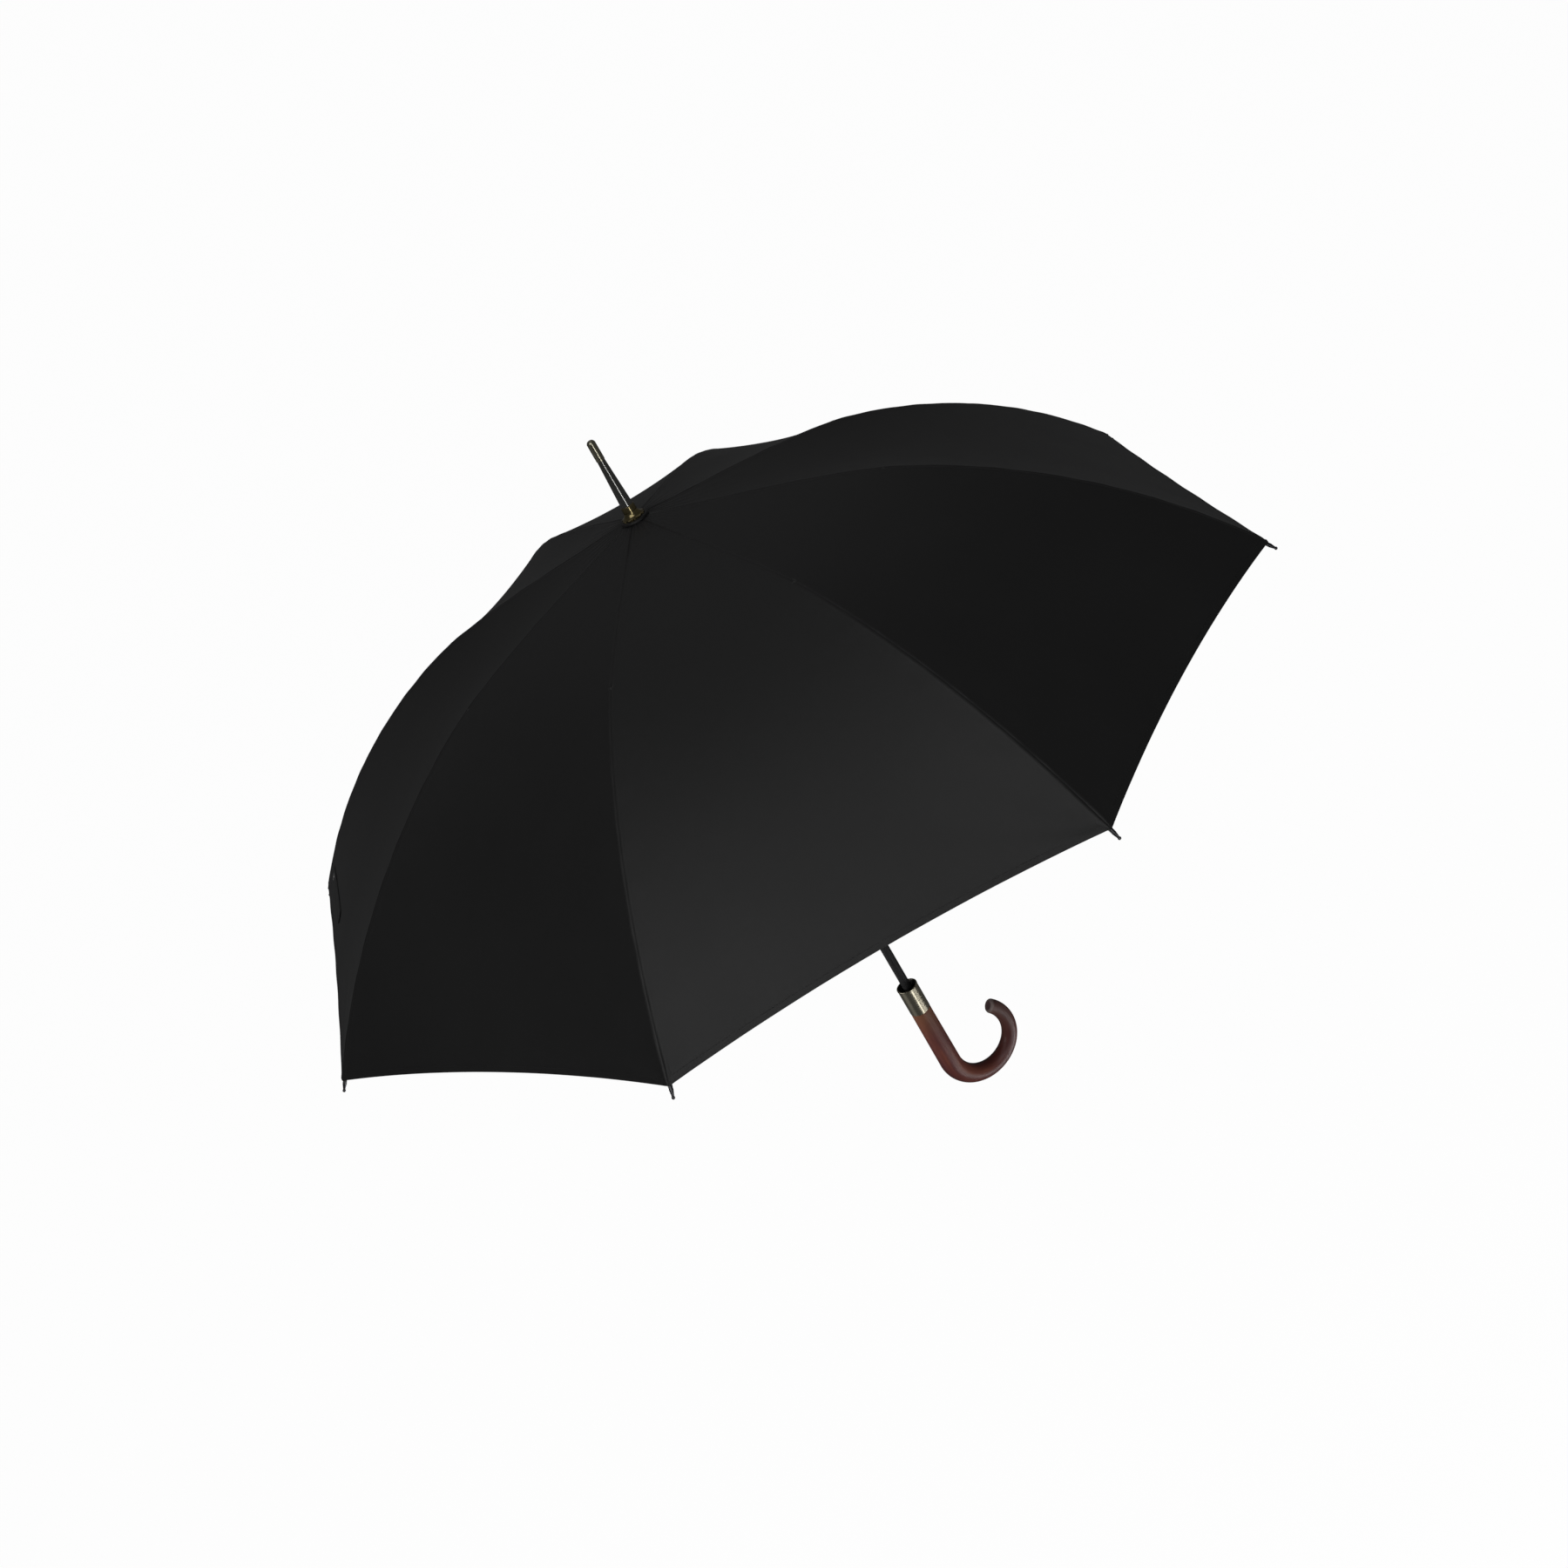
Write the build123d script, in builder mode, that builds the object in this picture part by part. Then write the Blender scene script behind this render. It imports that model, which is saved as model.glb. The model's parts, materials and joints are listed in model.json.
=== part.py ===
"""A manual stick umbrella, open, standing upright on the crook of its handle.

The shaft runs along +Z. The origin is on the shaft's axis at the level of the crook's lowest point, and
the crook opens towards +X. Eight ribs hinge on a wire in the top notch, eight stretchers push them up from
a runner that slides on the shaft, and eight sewn panels of cloth lie over the ribs. Millimetres.

A sprung steel rib bends as the umbrella opens. Here each rib is two curved bars that meet in a pin at the
stretcher's bracket, and each panel of cloth is split along the same line, so that both can straighten.
"""

import os
from math import asin, atan2, cos, degrees, hypot, radians, sin, tan

from build123d import *

os.makedirs("parts", exist_ok=True)

# Canopy
RIBS = 8
PITCH = 360 / RIBS
RIB_AZIMUTH = 9.25  # the first rib, from the crook's plane
PANEL_AZIMUTH = RIB_AZIMUTH + PITCH / 2
CANOPY_R = 530.0  # shaft axis to a corner of the cloth
CORNER_Z = 516.0  # the corners' level
HEM_RISE = 8.5  # the hem curves this far towards the shaft, seen from above
CLOTH = 0.7
CLOTH_GAP = 2.0  # rib's centre line to the underside of the cloth
SEAM_GAP = 0.2  # each panel stops this far from the seam's plane

# Rib centre line, in its own radial plane: notch pin, bracket pin, outer end
NOTCH_PIN = (9.0, CORNER_Z + 249.5)
BRACKET_PIN = (238.0, CORNER_Z + 207.0)
RIB_END = (528.2, CORNER_Z - 1.5)
UPPER_TURN = 7.8  # degrees that the upper bar's centre line turns through
LOWER_TURN = 31.0
RIB_W = 3.2
RIB_H = 2.6
FLUTE_W = 1.8
FLUTE_H = 1.7
EYE_R = 1.5
EYE_W = 2.5
PIN_R = 0.6
PIN_BORE_R = 0.66
EAR = 0.8
STRETCHER_DROP = 5.5  # bracket pin to stretcher pin
STRETCHER_W = 2.6
STRETCHER_H = 2.4
TIP_LENGTH = 11.0

# Shaft and what is fixed to it
SHAFT_R = 5.0
SHAFT_BORE_R = 4.2
SHAFT_BOTTOM = 84.0
SHAFT_TOP = 794.0
FIT = 0.05  # radial gap of a part pushed onto the shaft
CUT = 1.0  # how far a cutting shape stands past what it cuts
NOTCH_R = 12.0
NOTCH_BOTTOM = NOTCH_PIN[1] - 6.0
NOTCH_TOP = NOTCH_PIN[1] + 3.4
SLOT_W = 3.8
NOTCH_SLOT_R = 6.6  # the notch's slots stop this far from the shaft's axis
CROWN_Z = CORNER_Z + 256.0  # top of the cloth beside the shaft
FERRULE_TOP = 837.0
TIP_TOP = 858.5

# Runner
RUNNER_PIN_R = 10.2
RUNNER_Z = CORNER_Z + 106.0
RUNNER_SLEEVE_R = 7.9
RUNNER_BORE_R = 5.08
RUNNER_CROWN_R = 13.2
RUNNER_CROWN_HALF = 4.0
RUNNER_SLOT_R = 8.3
RUNNER_BELOW = 50.0
CATCH_PROUD = 1.6

# Handle
CUP_R = 11.6
CUP_TOP = 163.5
CUP_FLOOR = 143.0
CUP_BOTTOM = 129.0
LINER_R = 9.7
BEND_R = 39.8
BEND_Z = 49.5
BEND_ANGLE = 224.0


def at(point):
    """A (radius, height) pair as a point of the plane y = 0."""
    return (point[0], 0, point[1])


def arc_of(start, end, turn):
    """Centre, and the start's slope below the horizontal, of an arc that bulges upwards."""
    dx, dz = end[0] - start[0], end[1] - start[1]
    chord = hypot(dx, dz)
    radius = chord / 2 / sin(radians(turn / 2))
    slope = degrees(atan2(-dz, dx)) - turn / 2
    return (start[0] - radius * sin(radians(slope)), start[1] - radius * cos(radians(slope))), radius, slope


def across(origin, slope):
    """The plane through a point of y = 0, facing along a direction sloping below +X; its y is outwards."""
    return Plane(origin=at(origin), x_dir=(0, 1, 0), z_dir=(cos(radians(slope)), 0, -sin(radians(slope))))


def along(start, slope, length, lift=0.0):
    """A point that far along a slope from the start, and lifted square to it."""
    s, c = sin(radians(slope)), cos(radians(slope))
    return (start[0] + length * c + lift * s, start[1] - length * s + lift * c)


def export(part, name):
    part.label = name
    export_step(part, f"parts/{name}.step")


def export_round(part, name, first):
    """Eight copies about the shaft, one node each."""
    for i in range(RIBS):
        export(part.rotate(Axis.Z, first + i * PITCH), f"{name}_{i + 1}")


UPPER_CENTRE, UPPER_RADIUS, UPPER_SLOPE = arc_of(NOTCH_PIN, BRACKET_PIN, UPPER_TURN)
LOWER_CENTRE, LOWER_RADIUS, LOWER_SLOPE = arc_of(BRACKET_PIN, RIB_END, LOWER_TURN)
BRACKET_SLOPE = UPPER_SLOPE + UPPER_TURN
END_SLOPE = LOWER_SLOPE + LOWER_TURN
STRETCHER_PIN = along(BRACKET_PIN, BRACKET_SLOPE, 0, -STRETCHER_DROP)
RUNNER_PIN = (RUNNER_PIN_R, RUNNER_Z)
STRETCHER_LENGTH = hypot(STRETCHER_PIN[0] - RUNNER_PIN[0], STRETCHER_PIN[1] - RUNNER_PIN[1])
STRETCHER_SLOPE = degrees(asin((STRETCHER_PIN[1] - RUNNER_PIN[1]) / STRETCHER_LENGTH))
# Closed, a rib and its stretcher hang in line from the notch
RIB_CHORD = hypot(BRACKET_PIN[0] - NOTCH_PIN[0], BRACKET_PIN[1] - NOTCH_PIN[1])
RUNNER_CLOSED_Z = NOTCH_PIN[1] - RIB_CHORD - STRETCHER_LENGTH


def bar_section():
    """A rib's section, with a flute along its underside; the sketch plane's y points outwards."""
    Rectangle(RIB_W, RIB_H)
    with Locations((0, -RIB_H / 2)):
        Rectangle(FLUTE_W, FLUTE_H, align=(Align.CENTER, Align.MIN), mode=Mode.SUBTRACT)


# ---------------------------------------------------------------- shaft
WINDOW_W = 2.8
WINDOW_L = 20.0
WINDOW_MARGIN = 1.0  # the window runs this far past a catch's shoulder
CATCH_PLAY = 0.3  # along the shaft, and round a catch in its groove
TOP_CATCH_Z = RUNNER_Z - RUNNER_BELOW - CATCH_PLAY  # the shoulder that the open runner rests on
SLEEVE_WINDOW = (8.0, 26.0)  # from the sleeve's lower end; the bottom catch clicks into it
BOTTOM_CATCH_Z = RUNNER_CLOSED_Z - RUNNER_BELOW + SLEEVE_WINDOW[0] + CATCH_PLAY
CATCH_AZIMUTH = PANEL_AZIMUTH + 2 * PITCH
HANDLE_PIN_Z = 136.0
HANDLE_PIN_R = 1.2
CATCH_PLANE = Plane.XY.rotated((0, 0, CATCH_AZIMUTH))

with BuildPart() as shaft_tube:
    with BuildSketch(Plane.XY.offset(SHAFT_BOTTOM)):
        Circle(SHAFT_R)
        Circle(SHAFT_BORE_R, mode=Mode.SUBTRACT)
    extrude(amount=SHAFT_TOP - SHAFT_BOTTOM)
    for window_top in (TOP_CATCH_Z + WINDOW_MARGIN, BOTTOM_CATCH_Z - WINDOW_MARGIN + WINDOW_L):
        with BuildSketch(CATCH_PLANE.offset(window_top - WINDOW_L)):
            Rectangle(SHAFT_R + CUT, WINDOW_W, align=(Align.MIN, Align.CENTER))
        extrude(amount=WINDOW_L, mode=Mode.SUBTRACT)
    with BuildSketch(Plane.YZ.offset(-SHAFT_R - CUT)):
        with Locations((0, HANDLE_PIN_Z)):
            Circle(HANDLE_PIN_R + FIT)
    extrude(amount=2 * (SHAFT_R + CUT), mode=Mode.SUBTRACT)
export(shaft_tube.part, "shaft_tube")

# ---------------------------------------------------------------- crown, ferrule and notch
CAP_BOTTOM = CROWN_Z + 1.8
CAP_TOP = CAP_BOTTOM + 13.0
CAP_R = 11.8
CAP_RIM = 1.0  # height of its straight rim
CAP_NECK_Z = CAP_BOTTOM + 7.5  # the curve from the rim ends here
CAP_NECK = 1.0  # wall round the ferrule's foot
CAP_BEVEL = 0.8
SCALLOP_R = 2.6  # eight round cuts in the cap's skirt
SCALLOP_OUT = 1.4
SCALLOP_H = 7.0
WASHER_R = 15.0
WASHER_T = 1.2
WASHER_GAP = 0.5
WASHER_BEVEL = 0.8
FERRULE_R = 6.1
FERRULE_END_R = 3.9
FERRULE_BORE_TOP = SHAFT_TOP + 0.5
FERRULE_CAP_R = 4.3
FERRULE_PEG_R = 2.0
FERRULE_PEG_L = 12.0
FERRULE_CAP_WALL = 0.5  # left flat at the middle of the cap's rounded end

with BuildPart() as crown_washer:
    with BuildSketch(Plane.XY.offset(CROWN_Z + WASHER_GAP)):
        Circle(WASHER_R)
        Circle(SHAFT_R + FIT, mode=Mode.SUBTRACT)
    extrude(amount=WASHER_T)
    chamfer(crown_washer.faces().sort_by(Axis.Z)[-1].outer_wire().edges(), WASHER_BEVEL)
export(crown_washer.part, "crown_washer")

with BuildPart() as crown_cap:
    with BuildSketch(Plane.XZ):
        with BuildLine():
            Polyline((SHAFT_R + FIT, CAP_TOP), (SHAFT_R + FIT, CAP_BOTTOM), (CAP_R, CAP_BOTTOM))
            Line((CAP_R, CAP_BOTTOM), (CAP_R, CAP_BOTTOM + CAP_RIM))
            TangentArc((CAP_R, CAP_BOTTOM + CAP_RIM), (FERRULE_R + CAP_NECK, CAP_NECK_Z), tangent=(-1, 0.25))
            Polyline(
                (FERRULE_R + CAP_NECK, CAP_NECK_Z),
                (FERRULE_R + CAP_BEVEL, CAP_TOP - CAP_BEVEL),
                (FERRULE_R, CAP_TOP),
                (SHAFT_R + FIT, CAP_TOP),
            )
        make_face()
    revolve(axis=Axis.Z)
    with BuildSketch(Plane.XY.offset(CAP_BOTTOM)):
        with PolarLocations(CAP_R + SCALLOP_OUT, RIBS, start_angle=PANEL_AZIMUTH):
            Circle(SCALLOP_R)
    extrude(amount=SCALLOP_H, mode=Mode.SUBTRACT)
export(crown_cap.part, "crown_cap")

with BuildPart() as ferrule:
    with BuildSketch(Plane.XZ):
        with BuildLine():
            Polyline(
                (SHAFT_R + FIT, CAP_TOP),
                (FERRULE_R, CAP_TOP),
                (FERRULE_END_R, FERRULE_TOP),
                (FERRULE_PEG_R, FERRULE_TOP),
                (FERRULE_PEG_R, FERRULE_TOP + FERRULE_PEG_L),
                (0, FERRULE_TOP + FERRULE_PEG_L),
                (0, FERRULE_BORE_TOP),
                (SHAFT_R + FIT, FERRULE_BORE_TOP),
                close=True,
            )
        make_face()
    revolve(axis=Axis.Z)
export(ferrule.part, "ferrule")

with BuildPart() as ferrule_cap:
    with BuildSketch(Plane.XY.offset(FERRULE_TOP)):
        Circle(FERRULE_CAP_R)
    extrude(amount=TIP_TOP - FERRULE_TOP)
    fillet(ferrule_cap.faces().sort_by(Axis.Z)[-1].edges(), FERRULE_CAP_R - FERRULE_CAP_WALL)
    with BuildSketch(Plane.XY.offset(FERRULE_TOP)):
        Circle(FERRULE_PEG_R + FIT)
    extrude(amount=FERRULE_PEG_L + 10 * FIT, mode=Mode.SUBTRACT)
export(ferrule_cap.part, "ferrule_cap")

WIRE_CHANNEL_R = PIN_R + FIT
with BuildPart() as top_notch:
    with BuildSketch(Plane.XY.offset(NOTCH_BOTTOM)):
        Circle(NOTCH_R)
        Circle(SHAFT_R + FIT, mode=Mode.SUBTRACT)
    extrude(amount=NOTCH_TOP - NOTCH_BOTTOM)
    with BuildSketch(Plane.XY.offset(NOTCH_BOTTOM)):
        with PolarLocations((NOTCH_SLOT_R + NOTCH_R + CUT) / 2, RIBS, start_angle=RIB_AZIMUTH):
            Rectangle(NOTCH_R + CUT - NOTCH_SLOT_R, SLOT_W)
    extrude(amount=NOTCH_TOP - NOTCH_BOTTOM, mode=Mode.SUBTRACT)
    with Locations((0, 0, NOTCH_PIN[1])):
        Torus(NOTCH_PIN[0], WIRE_CHANNEL_R, mode=Mode.SUBTRACT)
export(top_notch.part, "top_notch")

with BuildPart() as notch_wire:
    with Locations((0, 0, NOTCH_PIN[1])):
        Torus(NOTCH_PIN[0], PIN_R)
export(notch_wire.part, "notch_wire")

STOP_GAP = 1.5
STOP_WALL = 1.4
STOP_H = 3.0
STOP_ROUND = 0.6

with BuildPart() as stop_ring:
    with BuildSketch(Plane.XY.offset(RUNNER_Z + RUNNER_CROWN_HALF + STOP_GAP)):
        Circle(SHAFT_R + STOP_WALL)
        Circle(SHAFT_R + FIT, mode=Mode.SUBTRACT)
    extrude(amount=STOP_H)
    fillet(stop_ring.edges().filter_by(GeomType.CIRCLE).group_by(SortBy.RADIUS)[-1], STOP_ROUND)
export(stop_ring.part, "stop_ring")

# ---------------------------------------------------------------- ribs
BAR_START = 3.0  # a bar starts this far from its pin, and a narrower neck joins it to the eye
NECK_L = BAR_START + 1.5
NECK_H = 2 * EYE_R - 0.4
NOTCH_EYE_PLAY = 0.14
EAR_L = 9.0  # the bracket's ears run this far back along the rib
PIN_HEAD = 0.4
TIP_SOCKET_R = 1.9
TIP_SOCKET_L = 3.5
TIP_STEM_R = 0.95
TIP_BALL_R = 1.55
STRETCHER_FLUTE = (1.4, 1.5)


def neck(pin, slope):
    """An eye round a pin, and a neck along the bar from it."""
    with BuildSketch(Plane.XZ.offset(-EYE_W / 2)) as outline:
        with Locations(pin):
            Circle(EYE_R)
        with Locations(Location((pin[0], pin[1], 0), (0, 0, -slope))):
            Rectangle(NECK_L, NECK_H, align=(Align.MIN, Align.CENTER))
    extrude(outline.sketch, amount=EYE_W)


def bore(pin, radius=PIN_BORE_R):
    """A hole through an eye."""
    with BuildSketch(Plane.XZ.offset(-RIB_W)) as hole:
        with Locations(pin):
            Circle(radius)
    extrude(hole.sketch, amount=2 * RIB_W, mode=Mode.SUBTRACT)


def arc_share(length, radius):
    """The turn, in degrees, of a length along an arc."""
    return degrees(length / radius)


with BuildPart() as rib:
    lead = arc_share(BAR_START, UPPER_RADIUS)
    first = along(UPPER_CENTRE, UPPER_SLOPE + lead, 0, UPPER_RADIUS)
    with BuildSketch(across(first, UPPER_SLOPE + lead)):
        bar_section()
    revolve(axis=Axis(at(UPPER_CENTRE), (0, 1, 0)), revolution_arc=UPPER_TURN - 2 * lead)
    neck(NOTCH_PIN, UPPER_SLOPE)
    bore(NOTCH_PIN, PIN_BORE_R + NOTCH_EYE_PLAY)
    ear_back = along(BRACKET_PIN, BRACKET_SLOPE, -EAR_L)
    for side in (-RIB_W / 2 - EAR, RIB_W / 2):
        with BuildSketch(Plane.XZ.offset(side)):
            with BuildLine():
                Polyline(
                    along(ear_back, BRACKET_SLOPE, 0, EYE_R),
                    along(BRACKET_PIN, BRACKET_SLOPE, EYE_R, EYE_R),
                    along(STRETCHER_PIN, BRACKET_SLOPE, EYE_R, -EYE_R),
                    along(STRETCHER_PIN, BRACKET_SLOPE, -EYE_R, -EYE_R),
                    along(ear_back, BRACKET_SLOPE, 0, -EYE_R),
                    close=True,
                )
            make_face()
        extrude(amount=EAR)
    for pin in (BRACKET_PIN, STRETCHER_PIN):
        with BuildSketch(Plane.XZ.offset(-RIB_W / 2 - EAR - PIN_HEAD)):
            with Locations(pin):
                Circle(PIN_R)
        extrude(amount=RIB_W + 2 * (EAR + PIN_HEAD))
export_round(rib.part, "rib", RIB_AZIMUTH)

with BuildPart() as rib_end:
    lead = arc_share(BAR_START, LOWER_RADIUS)
    first = along(LOWER_CENTRE, LOWER_SLOPE + lead, 0, LOWER_RADIUS)
    with BuildSketch(across(first, LOWER_SLOPE + lead)):
        bar_section()
    revolve(axis=Axis(at(LOWER_CENTRE), (0, 1, 0)), revolution_arc=LOWER_TURN - lead)
    neck(BRACKET_PIN, LOWER_SLOPE)
    bore(BRACKET_PIN)
    with BuildSketch(Plane(origin=at(RIB_END), x_dir=(0, 1, 0), z_dir=across(RIB_END, END_SLOPE).z_dir)):
        Circle(TIP_SOCKET_R)
    extrude(amount=TIP_SOCKET_L)
    with BuildSketch(across(along(RIB_END, END_SLOPE, TIP_SOCKET_L), END_SLOPE)):
        Circle(TIP_SOCKET_R)
    with BuildSketch(across(along(RIB_END, END_SLOPE, TIP_LENGTH - TIP_BALL_R), END_SLOPE)):
        Circle(TIP_STEM_R)
    loft()
    with Locations(at(along(RIB_END, END_SLOPE, TIP_LENGTH - TIP_BALL_R))):
        Sphere(TIP_BALL_R)
export_round(rib_end.part, "rib_end", RIB_AZIMUTH)

with BuildPart() as stretcher:
    inwards = 180 - STRETCHER_SLOPE
    with BuildSketch(across(along(STRETCHER_PIN, inwards, BAR_START), inwards)):
        Rectangle(STRETCHER_W, STRETCHER_H)
        with Locations((0, STRETCHER_H / 2)):
            Rectangle(*STRETCHER_FLUTE, align=(Align.CENTER, Align.MAX), mode=Mode.SUBTRACT)
    extrude(amount=STRETCHER_LENGTH - 2 * BAR_START)
    neck(STRETCHER_PIN, inwards)
    neck(RUNNER_PIN, -STRETCHER_SLOPE)
    bore(STRETCHER_PIN)
export_round(stretcher.part, "stretcher", RIB_AZIMUTH)

# ---------------------------------------------------------------- runner
SLEEVE_BEVEL = 1.0
CATCH_GROOVE_W = 3.4  # down the sleeve's bore, for the catches to pass
RUNNER_ROUND = 1.0
WIRE_GAP = 4.0  # the wire is cut away inside each slot

with BuildPart() as runner_sleeve:
    with BuildSketch(Plane.XY.offset(RUNNER_Z - RUNNER_BELOW)):
        Circle(RUNNER_SLEEVE_R)
    extrude(amount=RUNNER_BELOW + RUNNER_CROWN_HALF)
    chamfer(runner_sleeve.faces().sort_by(Axis.Z)[0].edges(), SLEEVE_BEVEL)
    with BuildSketch(Plane.XY.offset(RUNNER_Z - RUNNER_BELOW)):
        Circle(RUNNER_BORE_R)
    extrude(amount=RUNNER_BELOW + RUNNER_CROWN_HALF, mode=Mode.SUBTRACT)
    with BuildSketch(CATCH_PLANE.offset(RUNNER_Z - RUNNER_BELOW)):
        Rectangle(SHAFT_R + CATCH_PROUD + CATCH_PLAY, CATCH_GROOVE_W, align=(Align.MIN, Align.CENTER))
    extrude(amount=RUNNER_BELOW + RUNNER_CROWN_HALF, mode=Mode.SUBTRACT)
    with BuildSketch(CATCH_PLANE.offset(RUNNER_Z - RUNNER_BELOW + SLEEVE_WINDOW[0])):
        Rectangle(RUNNER_SLEEVE_R + CUT, CATCH_GROOVE_W, align=(Align.MIN, Align.CENTER))
    extrude(amount=SLEEVE_WINDOW[1] - SLEEVE_WINDOW[0], mode=Mode.SUBTRACT)
export(runner_sleeve.part, "runner_sleeve")

with BuildPart() as runner_crown:
    with BuildSketch(Plane.XY.offset(RUNNER_Z - RUNNER_CROWN_HALF)):
        Circle(RUNNER_CROWN_R)
        Circle(RUNNER_SLEEVE_R + FIT, mode=Mode.SUBTRACT)
    extrude(amount=2 * RUNNER_CROWN_HALF)
    fillet(runner_crown.edges().filter_by(GeomType.CIRCLE).group_by(SortBy.RADIUS)[-1], RUNNER_ROUND)
    with BuildSketch(Plane.XY.offset(RUNNER_Z - RUNNER_CROWN_HALF)):
        with PolarLocations((RUNNER_SLOT_R + RUNNER_CROWN_R + CUT) / 2, RIBS, start_angle=RIB_AZIMUTH):
            Rectangle(RUNNER_CROWN_R + CUT - RUNNER_SLOT_R, SLOT_W)
    extrude(amount=2 * RUNNER_CROWN_HALF, mode=Mode.SUBTRACT)
    with Locations((0, 0, RUNNER_Z)):
        Torus(RUNNER_PIN_R, WIRE_CHANNEL_R, mode=Mode.SUBTRACT)
export(runner_crown.part, "runner_crown")

with BuildPart() as runner_wire:
    with Locations((0, 0, RUNNER_Z)):
        Torus(RUNNER_PIN_R, PIN_R)
    with BuildSketch(Plane.XY.offset(RUNNER_Z - WIRE_GAP / 2)):
        with PolarLocations(RUNNER_PIN_R, RIBS, start_angle=RIB_AZIMUTH):
            Rectangle(WIRE_GAP, SLOT_W)
    extrude(amount=WIRE_GAP, mode=Mode.SUBTRACT)
export(runner_wire.part, "runner_wire")


# ---------------------------------------------------------------- catches
CATCH_W = 2.2
CATCH_SPINE = (2.2, 3.2)  # inner and outer face of the leaf, from the axis
CATCH_LENGTH = 22.0
CATCH_END = 1.5  # past its pivot
CATCH_RAMP = 14.0  # the nose's slope starts this far from the shoulder
CATCH_FLAT = 2.5
CATCH_NOSE_R = SHAFT_R + CATCH_PROUD


def catch_leaf(shoulder_z, up):
    """A leaf inside the shaft with a nose through the window; its flat shoulder faces up (1) or down (-1)."""
    pivot_z = shoulder_z - up * CATCH_LENGTH
    plane = Plane(
        origin=(0, 0, 0),
        x_dir=(cos(radians(CATCH_AZIMUTH)), sin(radians(CATCH_AZIMUTH)), 0),
        z_dir=(sin(radians(CATCH_AZIMUTH)), -cos(radians(CATCH_AZIMUTH)), 0),
    )
    with BuildSketch(plane.offset(-CATCH_W / 2)) as leaf:
        with BuildLine():
            Polyline(
                (CATCH_SPINE[0], pivot_z - up * CATCH_END),
                (CATCH_SPINE[1], pivot_z - up * CATCH_END),
                (CATCH_SPINE[1], shoulder_z - up * CATCH_RAMP),
                (CATCH_NOSE_R, shoulder_z - up * CATCH_FLAT),
                (CATCH_NOSE_R, shoulder_z),
                (CATCH_SPINE[0], shoulder_z),
                close=True,
            )
        make_face()
    extrude(leaf.sketch, amount=CATCH_W)


with BuildPart() as top_catch:
    catch_leaf(TOP_CATCH_Z, 1)
export(top_catch.part, "top_catch")

with BuildPart() as bottom_catch:
    catch_leaf(BOTTOM_CATCH_Z, -1)
export(bottom_catch.part, "bottom_catch")

# ---------------------------------------------------------------- handle
CUP_WALL = 0.9
CUP_SKIRT = 0.8  # wall below the floor, round the wood
CUP_FLOOR_T = 2.0
LIP = 0.35  # a bead round the rim
LIP_Z = (2.2, 1.6, 0.4)  # where it starts, is full and ends, below the rim
LINER_TOP = CUP_TOP - 1.2

with BuildPart() as tip_cup:
    with BuildSketch(Plane.XZ):
        with BuildLine():
            Polyline(
                (SHAFT_R + FIT, CUP_FLOOR),
                (SHAFT_R + FIT, CUP_FLOOR - CUP_FLOOR_T),
                (CUP_R - CUP_SKIRT, CUP_FLOOR - CUP_FLOOR_T),
                (CUP_R - CUP_SKIRT, CUP_BOTTOM),
                (CUP_R, CUP_BOTTOM),
                (CUP_R, CUP_TOP - LIP_Z[0]),
                (CUP_R + LIP, CUP_TOP - LIP_Z[1]),
                (CUP_R + LIP, CUP_TOP - LIP_Z[2]),
                (CUP_R, CUP_TOP),
                (CUP_R - CUP_WALL, CUP_TOP),
                (CUP_R - CUP_WALL, CUP_FLOOR),
                close=True,
            )
        make_face()
    revolve(axis=Axis.Z)
export(tip_cup.part, "tip_cup")

with BuildPart() as cup_liner:
    with BuildSketch(Plane.XY.offset(CUP_FLOOR)):
        Circle(CUP_R - CUP_WALL - FIT)
    extrude(amount=LINER_TOP - CUP_FLOOR)
    with BuildSketch(Plane.XY.offset(CUP_FLOOR + CUP_FLOOR_T)):
        Circle(LINER_R)
    extrude(amount=CUP_TOP - CUP_FLOOR, mode=Mode.SUBTRACT)
    with BuildSketch(Plane.XY.offset(CUP_FLOOR)):
        Circle(SHAFT_R + FIT)
    extrude(amount=CUP_FLOOR_T + CUT, mode=Mode.SUBTRACT)
export(cup_liner.part, "cup_liner")

GRIP_TOP_R = 11.4
NOSE_ROUND = 3.0
TENON_R = CUP_R - CUP_SKIRT - FIT
TENON_TOP = CUP_FLOOR - CUP_FLOOR_T - 4 * FIT
SOCKET_BOTTOM = SHAFT_BOTTOM - 10 * FIT
# Radius of the wood where the bend has turned through that many degrees
BEND_SIZES = {0: 11.9, 45: 11.0, 90: 9.7, 135: 9.0, 180: 8.5, BEND_ANGLE: 8.0}


def bend_plane(turn):
    """Square to the bend's centre line where it has turned through that many degrees from straight down."""
    a = radians(turn)
    centre = (BEND_R * (1 - cos(a)), 0, BEND_Z - BEND_R * sin(a))
    return Plane(origin=centre, x_dir=(0, 1, 0), z_dir=(sin(a), 0, -cos(a)))


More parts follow.
